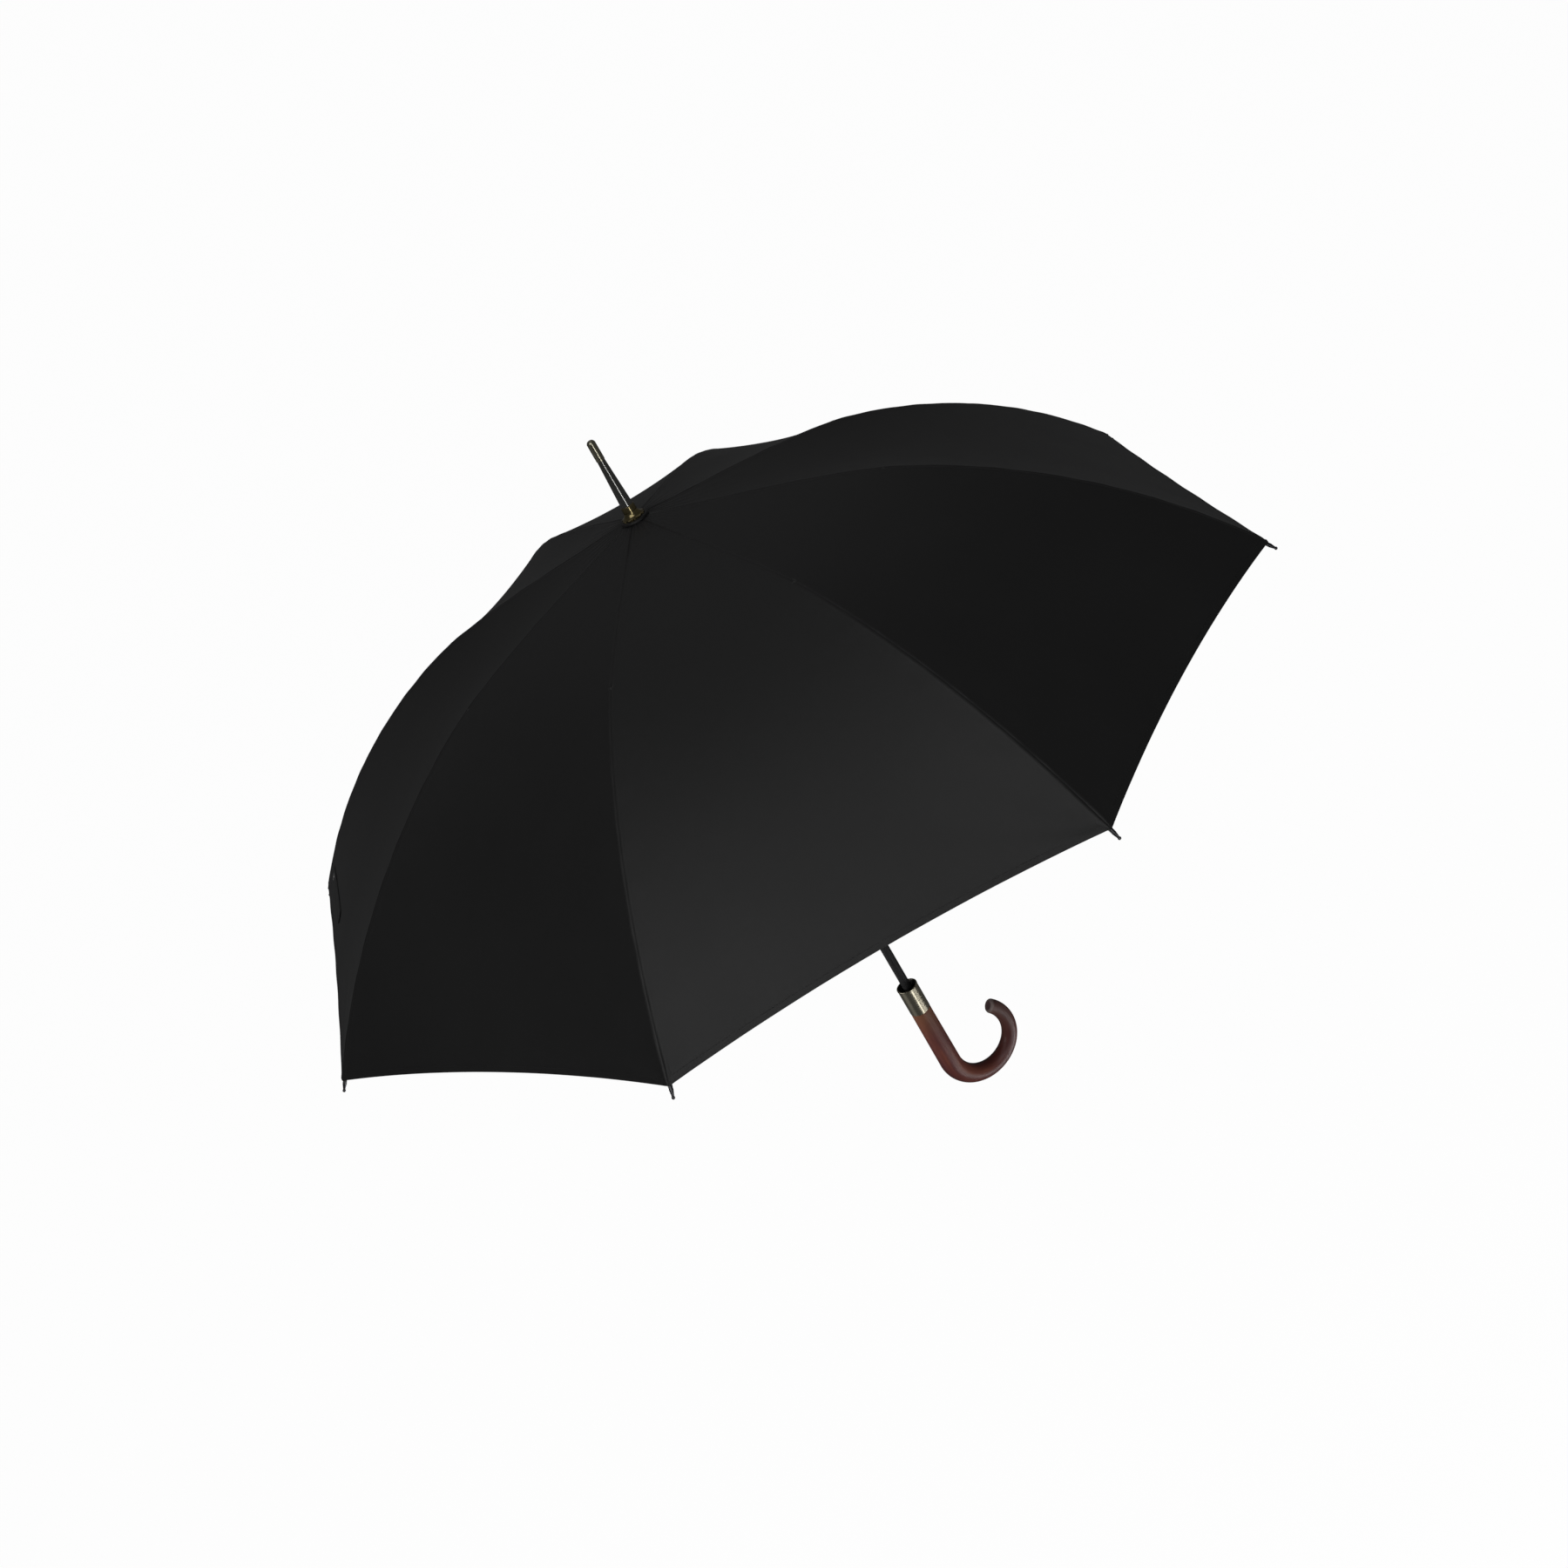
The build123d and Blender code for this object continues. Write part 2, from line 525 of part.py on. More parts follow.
with BuildPart() as handle_crook:
    for turn, size in BEND_SIZES.items():
        with BuildSketch(bend_plane(turn)):
            Circle(size)
    loft()
    nose = handle_crook.faces().sort_by_distance(bend_plane(BEND_ANGLE).origin)[0]
    fillet(nose.edges(), NOSE_ROUND)
    with BuildSketch(Plane.XY.offset(BEND_Z)):
        Circle(BEND_SIZES[0])
    with BuildSketch(Plane.XY.offset(CUP_BOTTOM)):
        Circle(GRIP_TOP_R)
    loft()
    with BuildSketch(Plane.XY.offset(CUP_BOTTOM)):
        Circle(TENON_R)
    extrude(amount=TENON_TOP - CUP_BOTTOM)
    with BuildSketch(Plane.XY.offset(SOCKET_BOTTOM)):
        Circle(SHAFT_R + FIT)
    extrude(amount=CUP_FLOOR - SHAFT_BOTTOM, mode=Mode.SUBTRACT)
    with BuildSketch(Plane.YZ.offset(-CUP_R)):
        with Locations((0, HANDLE_PIN_Z)):
            Circle(HANDLE_PIN_R + FIT)
    extrude(amount=2 * CUP_R, mode=Mode.SUBTRACT)
export(handle_crook.part, "handle_crook")

PIN_SINK = 0.5  # each end of the pin stops this far inside the wood

with BuildPart() as handle_pin:
    with BuildSketch(Plane.YZ.offset(-TENON_R + PIN_SINK)):
        with Locations((0, HANDLE_PIN_Z)):
            Circle(HANDLE_PIN_R)
    extrude(amount=2 * (TENON_R - PIN_SINK))
export(handle_pin.part, "handle_pin")

# ---------------------------------------------------------------- canopy
HALF = radians(PITCH / 2)
CROWN_HOLE_R = SHAFT_R + 0.6
CROWN_FOOT_R = 44.0  # where the cloth comes down from the crown onto the rib
SPLIT_GAP = 0.2  # from the line between upper and lower cloth to the edge of each
BELOW_CORNER, COVER_H = 40.0, 320.0  # a height range that holds the whole cover


def cloth_point(centre, radius, slope, lift):
    """A point of the cloth over a rib's arc, moved to the panel's middle plane."""
    point = along(centre, slope, 0, radius + lift)
    return (point[0] * cos(HALF), point[1])


def cloth_arc(centre, radius, slopes, lift):
    low, high = slopes
    return [cloth_point(centre, radius, s, lift) for s in (low, (low + high) / 2, high)]


def panel_outline(near, far, rise):
    """The panel seen from above: two seams, a straight inner end and a hem that curves in by rise."""
    edge = tan(HALF)
    trim = SEAM_GAP / cos(HALF)
    with BuildSketch(Plane.XY.offset(CORNER_Z - BELOW_CORNER)) as outline:
        with BuildLine():
            Line((near, near * edge - trim), (far, far * edge - trim))
            if rise:
                ThreePointArc((far, far * edge - trim), (far - rise, 0), (far, -far * edge + trim))
            else:
                Line((far, far * edge - trim), (far, -far * edge + trim))
            Line((far, -far * edge + trim), (near, -near * edge + trim))
            Line((near, -near * edge + trim), (near, near * edge - trim))
        make_face()
    extrude(outline.sketch, amount=COVER_H, mode=Mode.INTERSECT)


FOOT_SLOPE = UPPER_SLOPE + arc_share(CROWN_FOOT_R - NOTCH_PIN[0], UPPER_RADIUS)
PANEL_SPLIT = BRACKET_PIN[0] * cos(HALF)

with BuildPart() as panel_upper:
    with BuildSketch(Plane.XZ):
        with BuildLine():
            low = cloth_arc(UPPER_CENTRE, UPPER_RADIUS, (FOOT_SLOPE, BRACKET_SLOPE), CLOTH_GAP)
            high = cloth_arc(UPPER_CENTRE, UPPER_RADIUS, (FOOT_SLOPE, BRACKET_SLOPE), CLOTH_GAP + CLOTH)
            ThreePointArc(*low)
            Line(low[2], high[2])
            ThreePointArc(*high[::-1])
            Line(high[0], (CROWN_HOLE_R, CROWN_Z))
            Line((CROWN_HOLE_R, CROWN_Z), (CROWN_HOLE_R, CROWN_Z - CLOTH))
            Line((CROWN_HOLE_R, CROWN_Z - CLOTH), low[0])
        make_face()
    extrude(amount=CANOPY_R / 2, both=True)
    panel_outline(CROWN_HOLE_R, PANEL_SPLIT - SPLIT_GAP, 0)
export_round(panel_upper.part, "canopy_panel_upper", PANEL_AZIMUTH)

with BuildPart() as panel_lower:
    with BuildSketch(Plane.XZ):
        with BuildLine():
            low = cloth_arc(LOWER_CENTRE, LOWER_RADIUS, (LOWER_SLOPE, END_SLOPE), CLOTH_GAP)
            high = cloth_arc(LOWER_CENTRE, LOWER_RADIUS, (LOWER_SLOPE, END_SLOPE), CLOTH_GAP + CLOTH)
            ThreePointArc(*low)
            Line(low[2], high[2])
            ThreePointArc(*high[::-1])
            Line(high[0], low[0])
        make_face()
    extrude(amount=CANOPY_R / 2, both=True)
    panel_outline(PANEL_SPLIT + SPLIT_GAP, CANOPY_R * cos(HALF), HEM_RISE)
export_round(panel_lower.part, "canopy_panel_lower", PANEL_AZIMUTH)

# ---------------------------------------------------------------- tie strap
# It is sewn on beside one seam, near the hem.
STRAP_PANEL = 3  # lies on the fourth panel round from the first
STRAP_W = 16.0
STRAP_L = 120.0
STRAP_T = 0.9
STRAP_ROUND = 4.0
STRAP_GAP = 0.25  # over the cloth
STRAP_SLOPE = END_SLOPE - 3.2
STRAP_ROOT_Y = -165.0  # its sewn end, beside the fourth rib
SNAP_INSET = 13.0
SNAP_R = 4.0
SNAP_T = 1.6
SNAP_ROUND = 0.7

strap_at = cloth_point(LOWER_CENTRE, LOWER_RADIUS, STRAP_SLOPE, CLOTH_GAP + CLOTH + STRAP_GAP)
STRAP_RUN = cos(radians(STRAP_SLOPE)) * cos(HALF)
STRAP_PLANE = across(strap_at, degrees(atan2(sin(radians(STRAP_SLOPE)), STRAP_RUN)))
STRAP_FACE = Plane(origin=STRAP_PLANE.origin, x_dir=(0, 1, 0), z_dir=STRAP_PLANE.y_dir)

with BuildPart() as tie_strap:
    with BuildSketch(STRAP_FACE):
        with Locations((STRAP_ROOT_Y + STRAP_L / 2, 0)):
            RectangleRounded(STRAP_L, STRAP_W, STRAP_ROUND)
    extrude(amount=STRAP_T)
export(tie_strap.part.rotate(Axis.Z, PANEL_AZIMUTH + STRAP_PANEL * PITCH), "tie_strap")

with BuildPart() as strap_snap:
    with BuildSketch(STRAP_FACE.offset(STRAP_T)):
        with Locations((STRAP_ROOT_Y + SNAP_INSET, 0)):
            Circle(SNAP_R)
    extrude(amount=SNAP_T)
    fillet(strap_snap.faces().sort_by(Axis(STRAP_FACE.origin, STRAP_FACE.z_dir))[-1].edges(), SNAP_ROUND)
export(strap_snap.part.rotate(Axis.Z, PANEL_AZIMUTH + STRAP_PANEL * PITCH), "strap_snap")
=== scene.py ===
"""The open stick umbrella's cloth, seams, strap, materials, light and camera, around its CAD frame."""

import json
import math

import bpy
import numpy as np
from mathutils import Matrix, Vector


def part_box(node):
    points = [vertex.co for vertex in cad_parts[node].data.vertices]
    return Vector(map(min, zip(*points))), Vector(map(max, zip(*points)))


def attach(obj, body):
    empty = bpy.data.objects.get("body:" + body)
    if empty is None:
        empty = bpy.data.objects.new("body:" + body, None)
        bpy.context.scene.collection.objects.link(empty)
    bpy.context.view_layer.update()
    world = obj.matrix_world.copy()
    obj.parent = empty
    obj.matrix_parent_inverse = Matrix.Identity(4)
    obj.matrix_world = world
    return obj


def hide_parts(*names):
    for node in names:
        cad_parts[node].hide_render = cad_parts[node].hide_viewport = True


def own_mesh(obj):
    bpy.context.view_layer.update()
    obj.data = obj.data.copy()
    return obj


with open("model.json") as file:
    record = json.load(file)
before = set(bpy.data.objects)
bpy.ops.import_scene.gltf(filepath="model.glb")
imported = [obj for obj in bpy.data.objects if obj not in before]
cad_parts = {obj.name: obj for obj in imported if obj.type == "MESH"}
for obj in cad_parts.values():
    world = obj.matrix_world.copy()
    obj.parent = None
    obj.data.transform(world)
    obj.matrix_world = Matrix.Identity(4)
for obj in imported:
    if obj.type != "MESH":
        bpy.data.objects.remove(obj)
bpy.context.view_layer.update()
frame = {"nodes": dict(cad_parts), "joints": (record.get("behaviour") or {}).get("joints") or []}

# ---------------------------------------------------------------- sizes, in metres
MM = 0.001
RIBS = 8
PITCH = 2 * math.pi / RIBS
HALF = PITCH / 2
JOINTS = {j["name"]: j for j in frame["joints"]}


def radius_and_height(joint):
    """A joint's distance from the shaft's middle line, and its height."""
    x, y, z = JOINTS[joint]["pos_m"]
    return np.array([math.hypot(x, y), z])


NOTCH_PIN = radius_and_height("rib_hinge_1")
BRACKET_PIN = radius_and_height("rib_end_hinge_1")
FIRST_RIB = math.atan2(JOINTS["rib_hinge_1"]["pos_m"][1], JOINTS["rib_hinge_1"]["pos_m"][0])
RIB_END = np.array([528.2, 514.5]) * MM  # radius and height
UPPER_TURN, LOWER_TURN = math.radians(7.8), math.radians(31.0)  # of an open rib's two arcs
CROWN = np.array([6.2, 772.3]) * MM  # the cloth's edge round the shaft
CROWN_FOOT_R = 46 * MM  # where it comes down onto the ribs
CLOTH_LIFT = 2.9 * MM  # a rib's centre line to the cloth's outer face
CLOTH = 0.4 * MM
KINK_SPREAD = 22 * MM  # the cloth rounds off the rib's joint over about this length


# ---------------------------------------------------------------- the cover's shape
def arc_points(start, end, turn, lift, steps=160):
    """Points along an arc that bulges upwards between two (radius, height) points, lifted off it."""
    chord = end - start
    length = np.linalg.norm(chord)
    radius = length / 2 / math.sin(turn / 2)
    first = math.atan2(-chord[1], chord[0]) - turn / 2
    centre = start - radius * np.array([math.sin(first), math.cos(first)])
    slopes = first + np.linspace(0, turn, steps)
    return centre + (radius + lift) * np.stack([np.sin(slopes), np.cos(slopes)], 1)


def evenly(points, count):
    """The same line with that many points, evenly spaced."""
    along = np.concatenate([[0], np.cumsum(np.linalg.norm(np.diff(points, axis=0), axis=1))])
    at = np.linspace(0, along[-1], count)
    return np.stack([np.interp(at, along, points[:, k]) for k in range(points.shape[1])], 1)


def smoothed(line, spread):
    """The line with its direction averaged over a length, so that corners become bends."""
    steps = np.diff(line, axis=0)
    size = np.linalg.norm(steps, axis=1)
    reach = int(3 * spread / size.mean())
    weights = np.exp(-0.5 * (np.arange(-reach, reach + 1) * size.mean() / spread) ** 2)
    angle = np.unwrap(np.arctan2(steps[:, 1], steps[:, 0]))
    angle = np.convolve(np.pad(angle, reach, mode="edge"), weights / weights.sum(), mode="valid")
    turned = np.stack([np.cos(angle), np.sin(angle)], 1) * size[:, None]
    out = np.concatenate([[line[0]], line[0] + np.cumsum(turned, axis=0)])
    miss = line[-1] - out[-1]
    return out + np.linspace(0, 1, len(out))[:, None] * miss


def seam_line(count):
    """A seam over a rib as (radius, height) points, from the crown to the corner at the tip."""
    upper = arc_points(NOTCH_PIN, BRACKET_PIN, UPPER_TURN, CLOTH_LIFT)
    lower = arc_points(BRACKET_PIN, RIB_END, LOWER_TURN, CLOTH_LIFT)
    line = np.concatenate([[CROWN], upper[upper[:, 0] > CROWN_FOOT_R], lower[1:]])
    return smoothed(evenly(line, count), KINK_SPREAD)


ROWS, COLUMNS = 84, 44  # of the net whose tension gives the cover its shape
WARP, WEFT, HEM = 1.0, 3.0, 150.0  # force in the net's strands, per length


def panel_net():
    """One panel as a net in tension between two seams, with x out along the panel's middle and z up.

    Each strand pulls in proportion to its length, so the shape is one linear system.
    """
    seam = seam_line(ROWS + 1)
    across = np.linspace(-1, 1, COLUMNS + 1)
    x = np.repeat(seam[:, :1] * math.cos(HALF), COLUMNS + 1, 1)
    y = seam[:, :1] * math.sin(HALF) * across[None, :]
    z = np.repeat(seam[:, 1:], COLUMNS + 1, 1)
    net = np.stack([x, y, z], -1)
    number = -np.ones(net.shape[:2], int)
    number[1:, 1:-1] = np.arange(ROWS * (COLUMNS - 1)).reshape(ROWS, COLUMNS - 1)
    free = number.max() + 1
    pull, load = np.zeros((free, free)), np.zeros((free, 3))
    strands = [((i, j), (i + 1, j), WARP) for i in range(ROWS) for j in range(1, COLUMNS)]
    for i in range(1, ROWS + 1):
        strands += [((i, j), (i, j + 1), HEM if i == ROWS else WEFT) for j in range(COLUMNS)]
    for a, b, force in strands:
        for here, there in ((a, b), (b, a)):
            n, m = number[here], number[there]
            if n < 0:
                continue
            pull[n, n] += force
            if m < 0:
                load[n] += force * net[there]
            else:
                pull[n, m] -= force
    net[1:, 1:-1] = np.linalg.solve(pull, load).reshape(ROWS, COLUMNS - 1, 3)
    return net


FINE_ROWS = 150
PLAIN_COLUMNS = 15  # in each half of a panel, beside those close to the seam
NEAR_SEAM = np.array([6.0, 3.6, 2.0, 0.9, 0.0]) * MM  # the columns close to a seam, by their distance
NEAR_SHARE = 0.12  # which take no more than this share of a narrow row
GROOVE, GROOVE_W = 0.8 * MM, 1.1 * MM  # a seam's stitching pulls the cloth in this far
RIDGE, RIDGE_AT, RIDGE_W = 0.25 * MM, 2.6 * MM, 1.6 * MM  # the turned-in edge lifts it beside the groove
PUCKER, PUCKER_REACH = 0.16 * MM, 11 * MM  # small waves along a seam
PUCKER_LONG, PUCKER_SHORT = 7.5 * MM, 4.9 * MM  # set their lengths
PUCKER_START = 60 * MM  # they grow from the crown over this length
GATHER, GATHER_REACH, GATHER_WAVES = 0.5 * MM, 34 * MM, 15  # folds that fan out of the crown
GATHER_START = 12 * MM  # the crown's washer presses them flat up to here
FLUTTER, FLUTTER_REACH, FLUTTER_WAVES = 0.2 * MM, 16 * MM, 17  # slight waves along the hem
FLUTTER_START = 14 * MM  # the ribs hold the hem flat on either side
TIP_PULL, TIP_REACH, TIP_WAVES = 0.5 * MM, 45 * MM, 12  # creases that fan out of a rib's tip
TIP_POINT = 4 * MM  # they meet this far past the hem
CLEAR = 2 * MM  # waves rise to their full height over this distance from a seam
SPLIT_SHIFT = 34 * MM  # the cover's joint line runs this much further out at a panel's middle


def sample(net, rows, columns):
    """Points of the net at fractional rows and columns, both given as equal arrays."""
    i = np.clip(np.floor(rows).astype(int), 0, ROWS - 1)
    j = np.clip(np.floor(columns).astype(int), 0, COLUMNS - 1)
    u, v = (rows - i)[..., None], (columns - j)[..., None]
    near = net[i, j] * (1 - v) + net[i, j + 1] * v
    far = net[i + 1, j] * (1 - v) + net[i + 1, j + 1] * v
    return near * (1 - u) + far * u


def normals_of(grid):
    """Unit normals of a grid of points, facing out of the cover."""
    down, over = np.gradient(grid, axis=0), np.gradient(grid, axis=1)
    n = np.cross(down, over)
    n /= np.maximum(np.linalg.norm(n, axis=-1, keepdims=True), 1e-12)
    return n if n[len(n) // 2, grid.shape[1] // 2, 2] > 0 else -n


NET = panel_net()
SEAM = seam_line(ROWS + 1)
SEAM_LENGTH = float(np.linalg.norm(np.diff(SEAM, axis=0), axis=1).sum())
ROW_STEP = SEAM_LENGTH / ROWS
SPLIT_ROW = float(np.interp(BRACKET_PIN[0], SEAM[:, 0], np.arange(ROWS + 1)))


def fine_panel():
    """The whole panel as a fine grid: points, and each one's place from its seam, along it and across."""
    places = np.linspace(0, ROWS, FINE_ROWS + 1)
    places = places - places[np.argmin(abs(places - SPLIT_ROW))] + SPLIT_ROW
    places = np.clip(places, 0, ROWS)
    places[-1] = ROWS
    half_width = np.interp(places, np.arange(ROWS + 1), SEAM[:, 0]) * math.sin(HALF)
    plain = np.linspace(0, 1, PLAIN_COLUMNS + 1)[:-1]
    most = half_width[:, None] * NEAR_SHARE * np.linspace(1, 0, len(NEAR_SEAM))
    near = np.minimum(NEAR_SEAM[None, :], most)
    inner = 1 - near[:, :1] / half_width[:, None]
    v = np.concatenate([plain[None, :] * inner, 1 - near / half_width[:, None]], 1)
    v = np.concatenate([-v[:, :0:-1], v], 1)
    shift = SPLIT_SHIFT / ROW_STEP * (1 - abs(v))
    bulge = np.where(places < SPLIT_ROW, places / SPLIT_ROW, (ROWS - places) / (ROWS - SPLIT_ROW))
    rows = np.clip(places[:, None] + shift * bulge[:, None], 0, ROWS)
    points = sample(NET, rows, (v + 1) / 2 * COLUMNS)
    from_seam = (1 - abs(v)) * half_width[:, None]
    return points, from_seam, rows * ROW_STEP, v


def detail(points, from_seam, along, v):
    """Adds the seam's groove and puckers, the crown's gathers and the slight waves along the hem."""
    n = normals_of(points)
    clear = np.clip(from_seam / CLEAR, 0, 1)
    out = -GROOVE * np.exp(-((from_seam / GROOVE_W) ** 2))
    out += RIDGE * np.exp(-(((from_seam - RIDGE_AT) / RIDGE_W) ** 2))
    side = np.where(v < 0, 0.0, 1.9)  # the waves at a panel's two seams are out of step
    wave = np.sin(along / PUCKER_LONG + side) + 0.6 * np.sin(along / PUCKER_SHORT + 2.3 * side + 1.0)
    taper = np.clip(along / PUCKER_START, 0, 1)
    out += PUCKER * wave * np.exp(-from_seam / PUCKER_REACH) * clear * taper
    gather = np.exp(-along / GATHER_REACH) * np.clip(along / GATHER_START, 0, 1)
    out += GATHER * gather * np.sin(v * GATHER_WAVES + 0.7) * clear
    to_hem = SEAM_LENGTH - along
    inland = np.clip(from_seam / FLUTTER_START, 0, 1)
    out += FLUTTER * np.exp(-to_hem / FLUTTER_REACH) * np.sin(v * FLUTTER_WAVES + 0.4) * inland
    tip_pull = np.exp(-np.hypot(from_seam, to_hem) / TIP_REACH)
    out += TIP_PULL * tip_pull * np.sin(np.arctan2(from_seam, to_hem + TIP_POINT) * TIP_WAVES)
    return points + n * out[..., None]


PLAIN_PANEL, FROM_SEAM, ALONG, ACROSS = fine_panel()
PANEL = detail(PLAIN_PANEL, FROM_SEAM, ALONG, ACROSS)
PANEL_NORMAL = normals_of(PANEL)
MIDDLE = PANEL.shape[1] // 2
SPLIT = int(np.argmin(abs(ALONG[:, 0] / ROW_STEP - SPLIT_ROW)))


# ---------------------------------------------------------------- meshes
def new_object(name, points, faces, uv=None, normals=None, material=None):
    """A smooth mesh object. uv and normals are one per point."""
    mesh = bpy.data.meshes.new(name)
    mesh.from_pydata([tuple(p) for p in points], [], [tuple(f) for f in faces])
    mesh.shade_smooth()
    if uv is not None:
        layer = mesh.uv_layers.new(name="cut")
        corner = np.zeros(len(mesh.loops), int)
        mesh.loops.foreach_get("vertex_index", corner)
        layer.data.foreach_set("uv", np.asarray(uv, float)[corner].ravel())
    if normals is not None:
        mesh.normals_split_custom_set_from_vertices([tuple(n) for n in normals])
    obj = bpy.data.objects.new(name, mesh)
    bpy.context.scene.collection.objects.link(obj)
    if material:
        mesh.materials.append(material)
    return obj


def shell(name, grid, normal, thickness, uv, material):
    """A closed thin sheet from a grid of points on its outer face."""
    rows, columns = grid.shape[:2]
    count = rows * columns
    thick = np.broadcast_to(np.asarray(thickness, float), (rows, columns))[..., None]
    points = np.concatenate([grid.reshape(-1, 3), (grid - normal * thick).reshape(-1, 3)])
    index = np.arange(count).reshape(rows, columns)
    a, b, c, d = index[:-1, :-1], index[1:, :-1], index[1:, 1:], index[:-1, 1:]
    quads = np.stack([a, b, c, d], -1).reshape(-1, 4)
    u, v, w = points[quads[0][0]], points[quads[0][1]], points[quads[0][3]]
    if np.dot(np.cross(v - u, w - u), normal.reshape(-1, 3)[0]) < 0:
        quads = quads[:, ::-1]
    faces = [*quads, *(quads[:, ::-1] + count)]
    loop = [*index[0, :-1], *index[:-1, -1], *index[-1, :0:-1], *index[:0:-1, 0]]
    edges = {tuple(q[[k, (k + 1) % 4]]) for q in quads for k in range(4)}
    for p, q in zip(loop, loop[1:] + loop[:1], strict=True):
        faces.append((q, p, p + count, q + count) if (p, q) in edges else (p, q, q + count, p + count))
    directions = np.concatenate([normal.reshape(-1, 3), -normal.reshape(-1, 3)])
    both = np.concatenate([uv.reshape(-1, 2), uv.reshape(-1, 2)])
    return new_object(name, points, faces, both, directions, material)


def turned(points, angle):
    """Points or directions turned about the shaft."""
    c, s = math.cos(angle), math.sin(angle)
    return points @ np.array([[c, -s, 0], [s, c, 0], [0, 0, 1]]).T


# ---------------------------------------------------------------- materials
class Shader:
    """A material and its nodes. An input that is a socket is linked, and any other is set on the node."""

    def __init__(self, name):
        self.material = bpy.data.materials.new(name)
        self.material.use_nodes = True
        self.tree = self.material.node_tree
        self.main = next(n for n in self.tree.nodes if n.type == "BSDF_PRINCIPLED")

    def put(self, socket, value):
        if isinstance(value, bpy.types.NodeSocket):
            self.tree.links.new(value, socket)
        elif isinstance(value, tuple) and len(value) == 3 and socket.type == "RGBA":
            socket.default_value = (*value, 1)
        else:
            socket.default_value = value

    def add(self, kind, inputs=(), output=0, **settings):
        node = self.tree.nodes.new(f"ShaderNode{kind}")
        for key, value in settings.items():
            setattr(node, key, value)
        for key, value in dict(inputs).items():
            self.put(node.inputs[key], value)
        return node.outputs[output]

    def surface(self, **inputs):
        for key, value in inputs.items():
            self.put(self.main.inputs[key.replace("_", " ")], value)

    def math(self, operation, a, b=0.0, clamp=False):
        return self.add("Math", {0: a, 1: b}, operation=operation, use_clamp=clamp)

    def noise(self, vector, scale, detail=3.0, roughness=0.5):
        return self.add(
            "TexNoise", {"Vector": vector, "Scale": scale, "Detail": detail, "Roughness": roughness}
        )

    def stretch(self, vector, scale):
        return self.add("Mapping", {"Vector": vector, "Scale": scale})

    def ramp(self, value, *stops):
        node = self.tree.nodes.new("ShaderNodeValToRGB")
        self.tree.links.new(value, node.inputs[0])
        elements = node.color_ramp.elements
        while len(elements) < len(stops):
            elements.new(0.5)
        for element, (place, colour) in zip(elements, stops, strict=True):
            element.position = place
            element.color = (*colour, 1) if isinstance(colour, tuple) else (colour, colour, colour, 1)
        return node.outputs[0]

    def mix(self, share, a, b):
        node = self.tree.nodes.new("ShaderNodeMix")
        node.data_type = "RGBA"
        for key, value in ((0, share), (6, a), (7, b)):
            self.put(node.inputs[key], value)
        return node.outputs[2]

    def bump(self, height, strength, distance, normal=None):
        inputs = {"Height": height, "Strength": strength, "Distance": distance}
        if normal:
            inputs["Normal"] = normal
        return self.add("Bump", inputs)

    def place(self):
        """Object coordinates, which are the row frame's at rest."""
        return self.add("TexCoord", output=3)

    def axes(self, place):
        """The three coordinates of a vector."""
        split = self.tree.nodes.new("ShaderNodeSeparateXYZ")
        self.tree.links.new(place, split.inputs[0])
        return split.outputs

    def length(self, a, b):
        """The length of the diagonal over two sides."""
        a_squared, b_squared = self.math("MULTIPLY", a, a), self.math("MULTIPLY", b, b)
        return self.math("SQRT", self.math("ADD", a_squared, b_squared))

    def ease(self, value, start, slope):
        """0 up to the start, then rising by the slope to 1."""
        return self.math("MULTIPLY", self.math("SUBTRACT", value, start), slope, clamp=True)

    def choose(self, switch, a, b):
        """The first value where the switch is 0 and the second where it is 1."""
        off = self.math("MULTIPLY", self.math("SUBTRACT", 1.0, switch), a)
        return self.math("ADD", self.math("MULTIPLY", switch, b), off)


THREAD = 0.42 * MM  # pitch of the cloth's weave


def cloth_material(name, shade, uv=True):
    """Tight black pongee: a fine plain weave, uneven threads, soft sheen and faint clouding."""
    s = Shader(name)
    place = s.place()
    cut = s.add("TexCoord", output=2) if uv else place
    turns = 2 * math.pi / THREAD / 20  # a band texture has a stripe every 2 pi / (20 scale)
    weave = None
    for direction in ("X", "Y"):
        band = s.add(
            "TexWave",
            {"Vector": cut, "Scale": turns, "Distortion": 0.6, "Detail": 1.0, "Detail Scale": 0.4},
            output=1,
            bands_direction=direction,
        )
        weave = band if weave is None else s.math("MULTIPLY", weave, band)
    slubs = s.noise(s.stretch(cut, (900.0, 26.0, 26.0)), 1.0, 2.0)
    cloud = s.noise(place, 7.0, 3.0)
    tone = s.math("ADD", s.math("MULTIPLY", cloud, 0.6), s.math("MULTIPLY", slubs, 0.4))
    dark, light = (tuple(c * k for c in shade) for k in (0.8, 1.2))
    s.surface(
        Base_Color=s.ramp(tone, (0.3, dark), (0.7, light)),
        Roughness=s.ramp(s.math("ADD", cloud, s.math("MULTIPLY", slubs, 0.3)), (0.4, 0.52), (0.9, 0.60)),
        Normal=s.bump(weave, 0.35, 0.05 * MM, s.bump(slubs, 0.12, 0.05 * MM)),
        Specular_IOR_Level=0.5,
        Sheen_Weight=0.04,
        Sheen_Roughness=0.42,
        Sheen_Tint=(0.85, 0.87, 0.9),
    )
    return s.material


